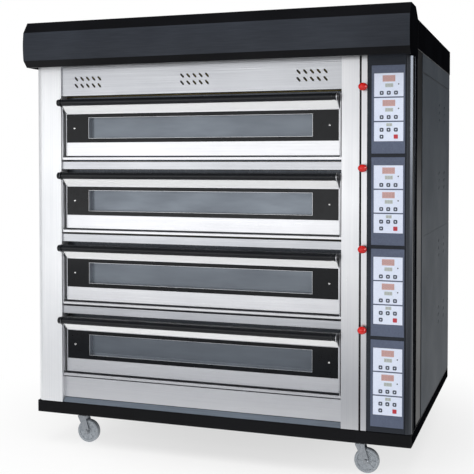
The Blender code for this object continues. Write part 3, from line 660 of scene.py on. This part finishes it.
def is_hood_face(face):
    """True for the crowned face between the two chamfers, which takes the painted sheen."""
    return face.normal.y < -0.9 and FACE_LOW < face.calc_center_median().z < FACE_HIGH


hood_shape = bmesh.new()
outline = sheet_outline(hood_line(), -HOOD_SHEET)
prism(hood_shape, outline, "X", hood_low.x + END_PLATE, hood_high.x - END_PLATE)
# The face takes the graphite colour as a painted sheen; the chamfers stay black.
for face in hood_shape.faces:
    face.material_index = 1 if is_hood_face(face) else 0
end_outline = [*hood_line()[1:], (hood_high.y, hood_low.z)]
for start in (hood_low.x, hood_high.x - END_PLATE):
    prism(hood_shape, end_outline, "X", start, start + END_PLATE, 2)
piece("hood_finished", hood_shape, [black_coat, graphite_coat_and_sheen, matt_black], "oven",
      ["hood"])

# %% [markdown]
# ## Doors
#
# Each door is a hollow stainless frame. A black-printed glass covers its middle, with a
# window cut out of the print. The window pane sits at the back of the door in a bright
# lining, so from the side the lining shows as a thin double line. A screw near each end
# holds the glass.

# %% Door frames
door_low, door_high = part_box("door_frame_1")
glass_low, glass_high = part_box("door_glass_1")
FLANGE_Y = door_high.y + 1 * MM
CHEEK, GRIP_DEPTH, INNER_DEPTH, LIP_DEPTH = 8 * MM, 20 * MM, 20 * MM, 1.5 * MM


def door_side(face):
    """The inner face is dulled by heat, the lip is painted near white as a painted reflection, and
    the left cheek is black.
    """
    middle = face.calc_center_median()
    if middle.y > glass_high.y + INNER_DEPTH and face.normal.y > 0.5:
        return 1
    if middle.y > glass_low.y - LIP_DEPTH:
        return 0
    if middle.x < door_low.x + CHEEK:
        return 3 if middle.y < glass_low.y - GRIP_DEPTH else 0
    # Slot 2, the lip, carries the painted reflection.
    return 0 if middle.x > door_high.x - CHEEK else 2


for n in DECKS:
    rounded_copy(f"door_frame_{n}", f"door_{n}", 0.7,
                 [brushed_along, heat_dulled, lip_painted_reflection, phenolic], door_side)

# %% Door glass, window and trim
WINDOW_SIDE, WINDOW_TOP, WINDOW_BOTTOM = 110 * MM, -15.5 * MM, -105.5 * MM
TRIM, TRIM_DEPTH, PANE_SET_BACK, PANE = 1.0 * MM, 32 * MM, 24 * MM, 3 * MM
GLASS_CLEARANCE, PANE_CLEARANCE, GLASS_INSET = 0.2 * MM, 0.1 * MM, 5.5 * MM
window_l = glass_low.x - GLASS_INSET + WINDOW_SIDE
window_r = glass_high.x + GLASS_INSET - WINDOW_SIDE


def make_door_glass(n):
    """The printed glass of a door, the lining of its window, and the pane behind it."""
    level = LEVEL[n]
    window = (window_l, level + WINDOW_BOTTOM, window_r, level + WINDOW_TOP)
    edge = GLASS_CLEARANCE
    mouth = (window[0] + edge, window[1] + edge, window[2] - edge, window[3] - edge)
    clear = (mouth[0] + TRIM, mouth[1] + TRIM, mouth[2] - TRIM, mouth[3] - TRIM)
    face, back = glass_low.y, glass_high.y
    low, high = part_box(f"door_glass_{n}")
    pane = bmesh.new()
    framed_plate(pane, (low.x, low.z, high.x, high.z), window, face, back)
    piece(f"door_glass_{n}_printed", pane, [printed_glass], f"door_{n}",
          [f"door_glass_{n}"])
    trim = bmesh.new()
    framed_plate(trim, mouth, clear, face - 0.4 * MM, face + TRIM_DEPTH)
    piece(f"window_trim_{n}", trim, [brushed_along], f"door_{n}")
    panes = bmesh.new()
    fit = PANE_CLEARANCE
    box(panes, (clear[0] + fit, face + PANE_SET_BACK, clear[1] + fit),
        (clear[2] - fit, face + PANE_SET_BACK + PANE, clear[3] - fit), 0, 0.3 * MM)
    piece(f"window_pane_{n}", panes, [coated_glass], f"door_{n}")


for n in DECKS:
    make_door_glass(n)
print("window", round(window_r - window_l, 3), "m wide")

# %% [markdown]
# ## Handles
#
# A handle is a phenolic bar on a steel core, with a turned collar and a domed cap at each
# end. It is turned about its own axis, which runs along the door.

# %% Handles
RIGHT_TRIM, NECK = 13 * MM, 0.93
for n in DECKS:
    low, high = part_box(f"door_handle_{n}")
    high.x -= RIGHT_TRIM
    middle = (low + high) / 2
    half = (high.x - low.x) / 2
    cap = (high.z - low.z) / 2
    bar = cap - 0.5 * MM
    side = [
        (0, half, 0), (cap * 0.45, half - 0.2 * MM, 0), (cap * 0.78, half - 1.2 * MM, 0),
        (cap * 0.96, half - 3.4 * MM, 0), (cap, half - 6 * MM, 0), (cap, half - 14.5 * MM, 0),
        (bar * NECK, half - 15.5 * MM, 0), (bar * NECK, half - 26 * MM, 0),
        (bar, half - 27 * MM, 0),
    ]
    whole = side + [(radius, -height, slot) for radius, height, slot in reversed(side)]
    handle = bmesh.new()
    lathe(handle, whole, middle, (1, 0, 0))
    piece(f"door_handle_{n}_turned", handle, [phenolic], f"door_{n}",
          [f"door_handle_{n}"])

# %% [markdown]
# ## Chambers
#
# The chambers are rolled steel, dull inside. The sill under each door is on show and brushed
# like the doors, and the flange behind the door is painted dark: painted shade for the shadowed
# gap round the door. A thin bright surround is bent round the door's left, bottom and right
# edges, and closes the gap to the columns.

# %% Chambers, hearths and elements
SURROUND, FLANGE_DEPTH = 2.0 * MM, 4 * MM


def chamber_side(face):
    """The sill is brushed, the flange behind the door painted dark as painted shade, the chamber
    itself dulled.
    """
    middle = face.calc_center_median()
    if middle.y < FLANGE_Y - 1 * MM:
        return 1
    # Slot 2, the flange behind the door, is painted shade.
    return 2 if middle.y < FLANGE_Y + FLANGE_DEPTH else 0


def coat(node, material):
    """Gives a part of the frame one material, and leaves its shape alone."""
    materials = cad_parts[node].data.materials
    materials.clear()
    materials.append(material)


for n in DECKS:
    rounded_copy(f"chamber_{n}", "oven", 0.5,
                 [heat_dulled, brushed_along, smoked_steel_and_shade], chamber_side)
    coat(f"hearth_stone_{n}", cordierite)
    coat(f"top_heater_{n}", sheath)
    coat(f"bottom_heater_{n}", sheath)
coat("insulation", rock_wool)

# %% Door surrounds
SILL_HIGH, DOOR_TOP, OVER_DOOR = -186 * MM, 58 * MM, 4 * MM
BEND, SIDE_GAP, SILL_GAP = 7 * MM, 3.5 * MM, 1.5 * MM
left, right = OPENING_L + SIDE_GAP, OPENING_R - SIDE_GAP
for n in DECKS:
    low = LEVEL[n] + SILL_HIGH - SURROUND - SILL_GAP
    top = LEVEL[n] + DOOR_TOP + OVER_DOOR
    path = [(left, top)]
    path += arc((left + BEND, low + BEND), BEND, 180, 270, 5)
    path += arc((right - BEND, low + BEND), BEND, 270, 360, 5)
    path += [(right, top)]
    strip = bmesh.new()
    prism(strip, sheet_outline(path, SURROUND), "Y", door_low.y + 40 * MM, door_low.y + 52 * MM)
    piece(f"door_surround_{n}", strip, [brushed_along], "oven")

# %% [markdown]
# ## Damper pulls
#
# A red button, a little wider than it is high, pulls each chamber's steam damper. Behind it
# sit a black collar and a plated rod, which comes into view when the button is pulled.

# %% Damper pulls
COLLAR, BUTTON, ROD = 0, 1, 2
OVAL, BUTTON_BACK, ROD_RADIUS = 0.84, 14 * MM, 4 * MM


def in_mm(slot, *points):
    """Profile points for the lathe, from (radius, height) in millimetres."""
    return [(radius * MM, height * MM, slot) for radius, height in points]


for n in DECKS:
    low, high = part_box(f"damper_knob_{n}")
    centre = Vector(((low.x + high.x) / 2, FRONT, (low.z + high.z) / 2))
    rod_end = -(high.y - FRONT)
    profile = [
        *in_mm(BUTTON, (0, 36), (6, 35.6), (11, 34), (15, 30.6), (17.4, 26), (18, 22), (17.4, 18)),
        *in_mm(COLLAR, (15.5, 15), (12.5, 13.5), (12, 12), (12, 4.5), (11.2, 3.2)),
        (ROD_RADIUS, 3 * MM, ROD), (ROD_RADIUS, rod_end, ROD), (0, rod_end, ROD),
    ]
    pull = bmesh.new()
    lathe(pull, profile, centre, (0, -1, 0))
    for vert in pull.verts:
        if vert.co.y < FRONT - BUTTON_BACK:
            vert.co.z = centre.z + (vert.co.z - centre.z) * OVAL
    piece(f"damper_pull_{n}", pull, [phenolic, red_abs, zinc], f"damper_{n}",
          [f"damper_knob_{n}"])

# %% [markdown]
# ## Keypads
#
# Each control plate carries three printed films: two for the top and bottom heat, and one
# for the timer. The displays are smoked acrylic with the unlit bars of a number display.
# The keys are the same small pad over and over, so a geometry node tree places them on
# points.

# %% Films and displays
FILM_X = (10 * MM, 122 * MM)
FILMS = ((-31 * MM, -120 * MM), (-125 * MM, -212 * MM), (-217 * MM, -290 * MM))
FILM_RISE, DISPLAY_RISE = 0.8 * MM, 0.5 * MM
INDICATOR, INDICATOR_AT = 2.5 * MM, (0.835, 0.47)
RECESS_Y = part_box("control_panel_1")[0].y + 0.6 * MM
FILM, INK, RED_WINDOW, GREEN_WINDOW, BARS = 0, 1, 2, 3, 4


def film_point(film, across, down):
    """A point on a film, from shares of its width and height, below the plate's top left."""
    top, bottom = FILMS[film]
    x = FILM_X[0] + (FILM_X[1] - FILM_X[0]) * across
    return x, top + (bottom - top) * down


def digit_bars(shape, x, z, width, height, y, slot):
    """The seven bars of one unlit digit, its centre at x, z."""
    thick = width * 0.16
    half_w, half_h = width / 2, height / 2
    for level in (-half_h, 0, half_h):
        box(shape, (x - half_w + thick, y - 0.15 * MM, z + level - thick / 2),
            (x + half_w - thick, y, z + level + thick / 2), slot)
    for side in (-half_w, half_w):
        for low, high in ((-half_h, 0), (0, half_h)):
            box(shape, (x + side - thick / 2, y - 0.15 * MM, z + low + thick),
                (x + side + thick / 2, y, z + high - thick), slot)


def display(shape, left, top, film, across, down, slot, digits):
    """A smoked window with its digits; across and down are (start, end) shares of the film."""
    x0, z0 = film_point(film, across[0], down[1])
    x1, z1 = film_point(film, across[1], down[0])
    y = RECESS_Y - FILM_RISE
    box(shape, (left + x0, y - DISPLAY_RISE, top + z0), (left + x1, y + 0.2 * MM, top + z1),
        slot, 0.15 * MM)
    pitch = (x1 - x0) / digits
    for d in range(digits):
        digit_bars(shape, left + x0 + pitch * (d + 0.5), top + (z0 + z1) / 2, pitch * 0.6,
                   (z1 - z0) * 0.56, y - DISPLAY_RISE, BARS)


for n in DECKS:
    low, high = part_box(f"control_panel_{n}")
    left, top = low.x, high.z
    pad = bmesh.new()
    for film, (upper, lower) in enumerate(FILMS):
        box(pad, (left + FILM_X[0], RECESS_Y - FILM_RISE, top + lower),
            (left + FILM_X[1], RECESS_Y - 0.1 * MM, top + upper), FILM, 0.3 * MM)
    for film in (0, 1):
        display(pad, left, top, film, (0.29, 0.72), (0.09, 0.36), RED_WINDOW, 4)
        display(pad, left, top, film, (0.38, 0.65), (0.44, 0.60), GREEN_WINDOW, 3)
        x, z = film_point(film, *INDICATOR_AT)
        box(pad, (left + x - INDICATOR, RECESS_Y - FILM_RISE - 0.3 * MM, top + z - INDICATOR),
            (left + x + INDICATOR, RECESS_Y - FILM_RISE, top + z + INDICATOR), INK, 0.1 * MM)
    display(pad, left, top, 2, (0.42, 0.62), (0.06, 0.22), GREEN_WINDOW, 2)
    piece(f"keypad_film_{n}", pad, [keypad_film, key_ink, red_smoke, green_smoke, unlit_bar],
          "oven")


# %% Geometry node trees: what both trees below share
def point_tree(name, sizes):
    """A node group with a geometry input, the named inputs, and a geometry output."""
    tree = bpy.data.node_groups.new(name, "GeometryNodeTree")
    tree.is_modifier = True
    tree.interface.new_socket("Points", in_out="INPUT", socket_type="NodeSocketGeometry")
    for label, kind, value in sizes:
        socket = tree.interface.new_socket(label, in_out="INPUT", socket_type=kind)
        if value is not None:
            socket.default_value = value
    tree.interface.new_socket("Pieces", in_out="OUTPUT", socket_type="NodeSocketGeometry")
    return tree, add(tree, "NodeGroupInput").outputs, add(tree, "NodeGroupOutput")


def spread_on_points(tree, given, out, instance, turn):
    """Instances on the points, realised. The materials are already set on the instance."""
    placed = add(
        tree, "GeometryNodeInstanceOnPoints",
        {"Points": given["Points"], "Instance": instance, "Rotation": turn},
    )
    real = add(tree, "GeometryNodeRealizeInstances", {0: placed.outputs[0]})
    tree.links.new(real.outputs[0], out.inputs[0])


def turn_to_facing(tree):
    """The turn that points a copy's +Z the way that its point faces."""
    facing = add(tree, "GeometryNodeInputNamedAttribute", {"Name": "facing"},
                 data_type="FLOAT_VECTOR")
    turn = add(tree, "FunctionNodeAlignRotationToVector", {"Vector": facing.outputs[0]}, axis="Z")
    return turn.outputs[0]


def with_material(tree, geometry, material):
    """The same geometry with a material on it."""
    inputs = {"Geometry": geometry, "Material": material}
    return add(tree, "GeometryNodeSetMaterial", inputs).outputs[0]


def from_tree(name, tree, points, facing, values, body):
    """Runs a tree on points that each have a facing direction, as a plain mesh piece."""
    seeds = bpy.data.meshes.new(name)
    seeds.from_pydata([tuple(point) for point in points], [], [])
    facings = seeds.attributes.new("facing", "FLOAT_VECTOR", "POINT")
    facings.data.foreach_set("vector", [v for _ in points for v in facing])
    source = bpy.data.objects.new(name + "_points", seeds)
    scene.collection.objects.link(source)
    modifier = source.modifiers.new("tree", "NODES")
    modifier.node_group = tree
    for socket in tree.interface.items_tree:
        if socket.in_out == "INPUT" and socket.name in values:
            modifier[socket.identifier] = values[socket.name]
    graph = bpy.context.evaluated_depsgraph_get()
    mesh = bpy.data.meshes.new_from_object(source.evaluated_get(graph))
    bpy.data.objects.remove(source)
    mesh.name = name
    mesh.set_sharp_from_angle(angle=CREASE)
    made = bpy.data.objects.new(name, mesh)
    scene.collection.objects.link(made)
    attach(made, body)
    print(name, len(points), "copies,", len(mesh.polygons), "faces")


# %% Keys
MARK_RISE = 1.3
key_tree, given, key_out = point_tree("keys_on_points", [
    ("Key width", "NodeSocketFloat", 15 * MM), ("Corner radius", "NodeSocketFloat", 4 * MM),
    ("Rise", "NodeSocketFloat", 0.8 * MM), ("Mark radius", "NodeSocketFloat", 2.6 * MM),
    ("Key material", "NodeSocketMaterial", None), ("Mark material", "NodeSocketMaterial", None),
])


def pad_shape(tree, curve, rise):
    """A closed flat curve filled and raised along +Z."""
    filled = add(tree, "GeometryNodeFillCurve", {0: curve})
    raised = add(
        tree, "GeometryNodeExtrudeMesh", {"Mesh": filled.outputs[0], "Offset Scale": rise},
        mode="FACES",
    )
    return raised.outputs[0]


outline = add(
    key_tree, "GeometryNodeCurvePrimitiveQuadrilateral",
    {"Width": given["Key width"], "Height": given["Key width"]},
)
corners = add(
    key_tree, "GeometryNodeFilletCurve",
    {"Curve": outline.outputs[0], "Radius": given["Corner radius"], "Count": 4}, mode="POLY",
)
cap = with_material(key_tree, pad_shape(key_tree, corners.outputs[0], given["Rise"]),
                    given["Key material"])
circle = add(
    key_tree, "GeometryNodeCurvePrimitiveCircle",
    {"Resolution": 16, "Radius": given["Mark radius"]},
)
higher = reckon(key_tree, "MULTIPLY", given["Rise"], MARK_RISE)
mark = with_material(key_tree, pad_shape(key_tree, circle.outputs[0], higher),
                     given["Mark material"])
both = add(key_tree, "GeometryNodeJoinGeometry")
key_tree.links.new(cap, both.inputs[0])
key_tree.links.new(mark, both.inputs[0])
spread_on_points(key_tree, given, key_out, both.outputs[0], turn_to_facing(key_tree))

KEY_COLUMNS, KEY_ROWS = (0.26, 0.50, 0.745), ((0, 0.84), (1, 0.84), (2, 0.40))
SWITCH_ROW = 0.76
key_points, on_points, mark_y = [], [], RECESS_Y - FILM_RISE
for n in DECKS:
    low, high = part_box(f"control_panel_{n}")
    spots = [film_point(film, across, down) for film, down in KEY_ROWS for across in KEY_COLUMNS]
    spots.append(film_point(2, KEY_COLUMNS[0], SWITCH_ROW))
    key_points += [(low.x + x, mark_y, high.z + z) for x, z in spots]
    x, z = film_point(2, KEY_COLUMNS[2], SWITCH_ROW)
    on_points.append((low.x + x, mark_y, high.z + z))
from_tree("keypad_keys", key_tree, key_points, (0, -1, 0),
          {"Key material": key_ink, "Mark material": keypad_film}, "oven")
from_tree("keypad_on_keys", key_tree, on_points, (0, -1, 0),
          {"Key width": 16 * MM, "Corner radius": 2 * MM, "Mark radius": 5 * MM,
           "Key material": red_ink, "Mark material": red_ink}, "oven")

# %% [markdown]
# ## Screws
#
# A pan-head screw is a low dome with a cross in it. There are dozens, so a second tree
# makes one and spreads it over points, each turned by its own random angle, because a
# fitter never leaves them aligned.

# %% Screws
screw_tree, given, screw_out = point_tree("screws_on_points", [
    ("Head radius", "NodeSocketFloat", 4 * MM), ("Dome", "NodeSocketFloat", 0.5),
    ("Seed", "NodeSocketInt", 7), ("Head material", "NodeSocketMaterial", None),
    ("Recess material", "NodeSocketMaterial", None),
])
ball = add(
    screw_tree, "GeometryNodeMeshUVSphere",
    {"Segments": 14, "Rings": 8, "Radius": given["Head radius"]},
)
flatten = add(screw_tree, "ShaderNodeCombineXYZ", {0: 1.0, 1: 1.0, 2: given["Dome"]})
dome = add(screw_tree, "GeometryNodeTransform",
           {"Geometry": ball.outputs[0], "Scale": flatten.outputs[0]})
parts = add(screw_tree, "GeometryNodeJoinGeometry")
screw_tree.links.new(
    with_material(screw_tree, dome.outputs[0], given["Head material"]), parts.inputs[0]
)
SLOT_LONG, SLOT_WIDE, SLOT_HIGH = 1.1, 0.22, 0.94
for share in ((SLOT_LONG, SLOT_WIDE), (SLOT_WIDE, SLOT_LONG)):
    size = add(screw_tree, "ShaderNodeCombineXYZ", {0: share[0], 1: share[1], 2: SLOT_HIGH})
    scaled = add(screw_tree, "ShaderNodeVectorMath",
                 {0: size.outputs[0], "Scale": given["Head radius"]}, operation="SCALE")
    bar = add(screw_tree, "GeometryNodeMeshCube", {"Size": scaled.outputs[0]})
    screw_tree.links.new(
        with_material(screw_tree, bar.outputs[0], given["Recess material"]), parts.inputs[0]
    )
spin = add(screw_tree, "FunctionNodeRandomValue", {2: 0.0, 3: math.pi, "Seed": given["Seed"]},
           data_type="FLOAT")
about = add(screw_tree, "ShaderNodeCombineXYZ", {2: spin.outputs[1]})
spun = add(screw_tree, "FunctionNodeRotateRotation",
           {0: turn_to_facing(screw_tree), 1: about.outputs[0]}, rotation_space="LOCAL")
spread_on_points(screw_tree, given, screw_out, parts.outputs[0], spun.outputs[0])

GLASS_SCREW, GLASS_SCREW_HEAD = 42 * MM, 4.5 * MM
for n in DECKS:
    low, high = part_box(f"door_glass_{n}")
    z = (low.z + high.z) / 2
    spots = [(low.x - GLASS_INSET + GLASS_SCREW, low.y, z),
             (high.x + GLASS_INSET - GLASS_SCREW, low.y, z)]
    from_tree(f"glass_screws_{n}", screw_tree, spots, (0, -1, 0),
              {"Head radius": GLASS_SCREW_HEAD, "Head material": polished,
               "Recess material": phenolic},
              f"door_{n}")

rear_low, rear_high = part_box("rear_panel")
EDGE, COLUMNS, ROWS = 18 * MM, 7, 7
ACROSS_AT, SIDE_ROWS_TOP = (0.930, 1.640), 1.60
spots = []
for c in range(COLUMNS):
    x = rear_low.x + EDGE + (rear_high.x - rear_low.x - 2 * EDGE) * c / (COLUMNS - 1)
    spots += [(x, REAR, z) for z in (rear_low.z + EDGE, *ACROSS_AT)]
for r in range(1, ROWS - 1):
    z = rear_low.z + EDGE + (SIDE_ROWS_TOP - rear_low.z) * r / (ROWS - 1)
    spots += [(rear_low.x + EDGE, REAR, z), (rear_high.x - EDGE, REAR, z)]
from_tree("rear_panel_screws", screw_tree, spots, (0, 1, 0),
          {"Seed": 3, "Head material": zinc, "Recess material": phenolic}, "oven")

# %% [markdown]
# ## Base
#
# The black base tray has a sloping ledge in front of the plinth. A thin blue-grey strip lies
# on it, a painted reflection of the steel plinth in the black ledge.

# %% Ledge reflection sheet
LEDGE_SHEET, LEDGE_GAP = 0.8 * MM, 2 * MM
ledge = bmesh.new()
ledge_line = [(FRONT + 1 * MM, BASE_TOP + 1.2 * MM), (FRONT + 22 * MM, BASE_TOP + 17.6 * MM)]
prism(ledge, sheet_outline(ledge_line, LEDGE_SHEET), "X", OPENING_L + LEDGE_GAP,
      OPENING_R - LEDGE_GAP)
# The sheet carries the painted reflection of the plinth in the black ledge.
piece("ledge_reflection_sheet", ledge, [ledge_painted_reflection], "oven")

# %% [markdown]
# ## Casters
#
# A caster is a wheel in a pressed fork that turns under a bolted plate. The wheel is turned
# from a profile with a raised hub, and ribs run from the hub to the rim.

# %% Caster wheels
RIBS, RIB_HALF = 8, 1.2 * MM


def make_wheel(corner, hub, half, rim):
    """The cast wheel, with ribs on both sides."""
    profile = [
        (6.6 * MM, half, 0), (13 * MM, half, 0), (15 * MM, half - 1 * MM, 0),
        (17 * MM, half - 4 * MM, 0), (rim - 14 * MM, half - 5 * MM, 0),
        (rim - 11 * MM, half - 1.5 * MM, 0), (rim - 5 * MM, half - 1 * MM, 0),
        (rim - 1.2 * MM, half - 3.5 * MM, 0), (rim, half - 8 * MM, 0),
    ]
    mirrored = [(radius, -height, slot) for radius, height, slot in reversed(profile)]
    wheel = bmesh.new()
    lathe(wheel, [*profile, *mirrored, profile[0]], hub, (0, 1, 0), 56)
    for rib in range(RIBS):
        turn = Matrix.Rotation(math.radians(360 / RIBS * rib), 4, "Y")
        for side in (-1, 1):
            ribs = bmesh.new()
            y = sorted((side * (half - 6 * MM), side * (half - 2.6 * MM)))
            box(ribs, (15 * MM, y[0], -RIB_HALF), (rim - 12 * MM, y[1], RIB_HALF), 0, 0.4 * MM)
            ribs.transform(Matrix.Translation(hub) @ turn)
            part = bpy.data.meshes.new("rib")
            ribs.to_mesh(part)
            ribs.free()
            wheel.from_mesh(part)
            bpy.data.meshes.remove(part)
    piece(f"caster_wheel_{corner}_cast", wheel, [nylon], f"wheel_{corner}",
          [f"caster_wheel_{corner}"])


# %% Caster forks and plates
PIVOT_X, LEG_INNER, LEG_OUTER = 27 * MM, 18.2 * MM, 21 * MM
AXLE, AXLE_HOUSING, PLATE_X, PLATE_Y = 6 * MM, 11 * MM, 50 * MM, 42 * MM


def make_fork(corner, hub):
    """The swivel head, two legs with their bridge, the axle and its nuts, and the plate."""
    low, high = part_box(f"caster_fork_{corner}")
    top = high.z
    pivot = Vector((low.x + PIVOT_X, hub.y, top))
    fork = bmesh.new()
    lathe(fork, in_mm(0, (0, -3.2), (21, -3.2), (24, -4.5), (27, -8), (27, -14), (24, -18),
                      (18, -20), (0, -20)), pivot, (0, 0, 1))
    leg_x0, leg_x1 = pivot.x - 20 * MM, pivot.x + 18 * MM
    outline = [(leg_x0, top - 20 * MM), (leg_x0, top - 26 * MM)]
    outline += arc((hub.x, hub.z), AXLE_HOUSING, 200, 380, 12)
    outline += [(leg_x1, top - 30 * MM), (leg_x1, top - 20 * MM)]
    for side in (-1, 1):
        prism(fork, outline, "Y", *sorted((hub.y + side * LEG_INNER, hub.y + side * LEG_OUTER)))
    box(fork, (leg_x0, hub.y - 21.6 * MM, top - 23 * MM),
        (leg_x1, hub.y + 21.6 * MM, top - 19.6 * MM), 0, 1.0 * MM)
    axle_end = (high.y - low.y) / 2
    lathe(fork, [(0, axle_end, 0), (AXLE, axle_end, 0), (AXLE, -axle_end, 0), (0, -axle_end, 0)],
          hub, (0, 1, 0), 24)
    for side in (-1, 1):
        centre = Vector((hub.x, hub.y + side * LEG_OUTER, hub.z))
        lathe(fork, in_mm(0, (0, 4), (8.5, 4), (9.8, 3), (9.8, 0.2), (0, 0.2)), centre,
              (0, side, 0), 6)
    piece(f"caster_fork_{corner}_pressed", fork, [zinc], f"fork_{corner}",
          [f"caster_fork_{corner}"])
    plate = bmesh.new()
    box(plate, (pivot.x - PLATE_X, pivot.y - PLATE_Y, top - 2.8 * MM),
        (pivot.x + PLATE_X, pivot.y + PLATE_Y, top), 0, 0.6 * MM)
    piece(f"caster_plate_{corner}", plate, [zinc], "oven")


for corner in CORNERS:
    low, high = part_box(f"caster_wheel_{corner}")
    hub = (low + high) / 2
    make_wheel(corner, hub, (high.y - low.y) / 2, (high.z - low.z) / 2)
    make_fork(corner, hub)
print(len(CORNERS), "casters")
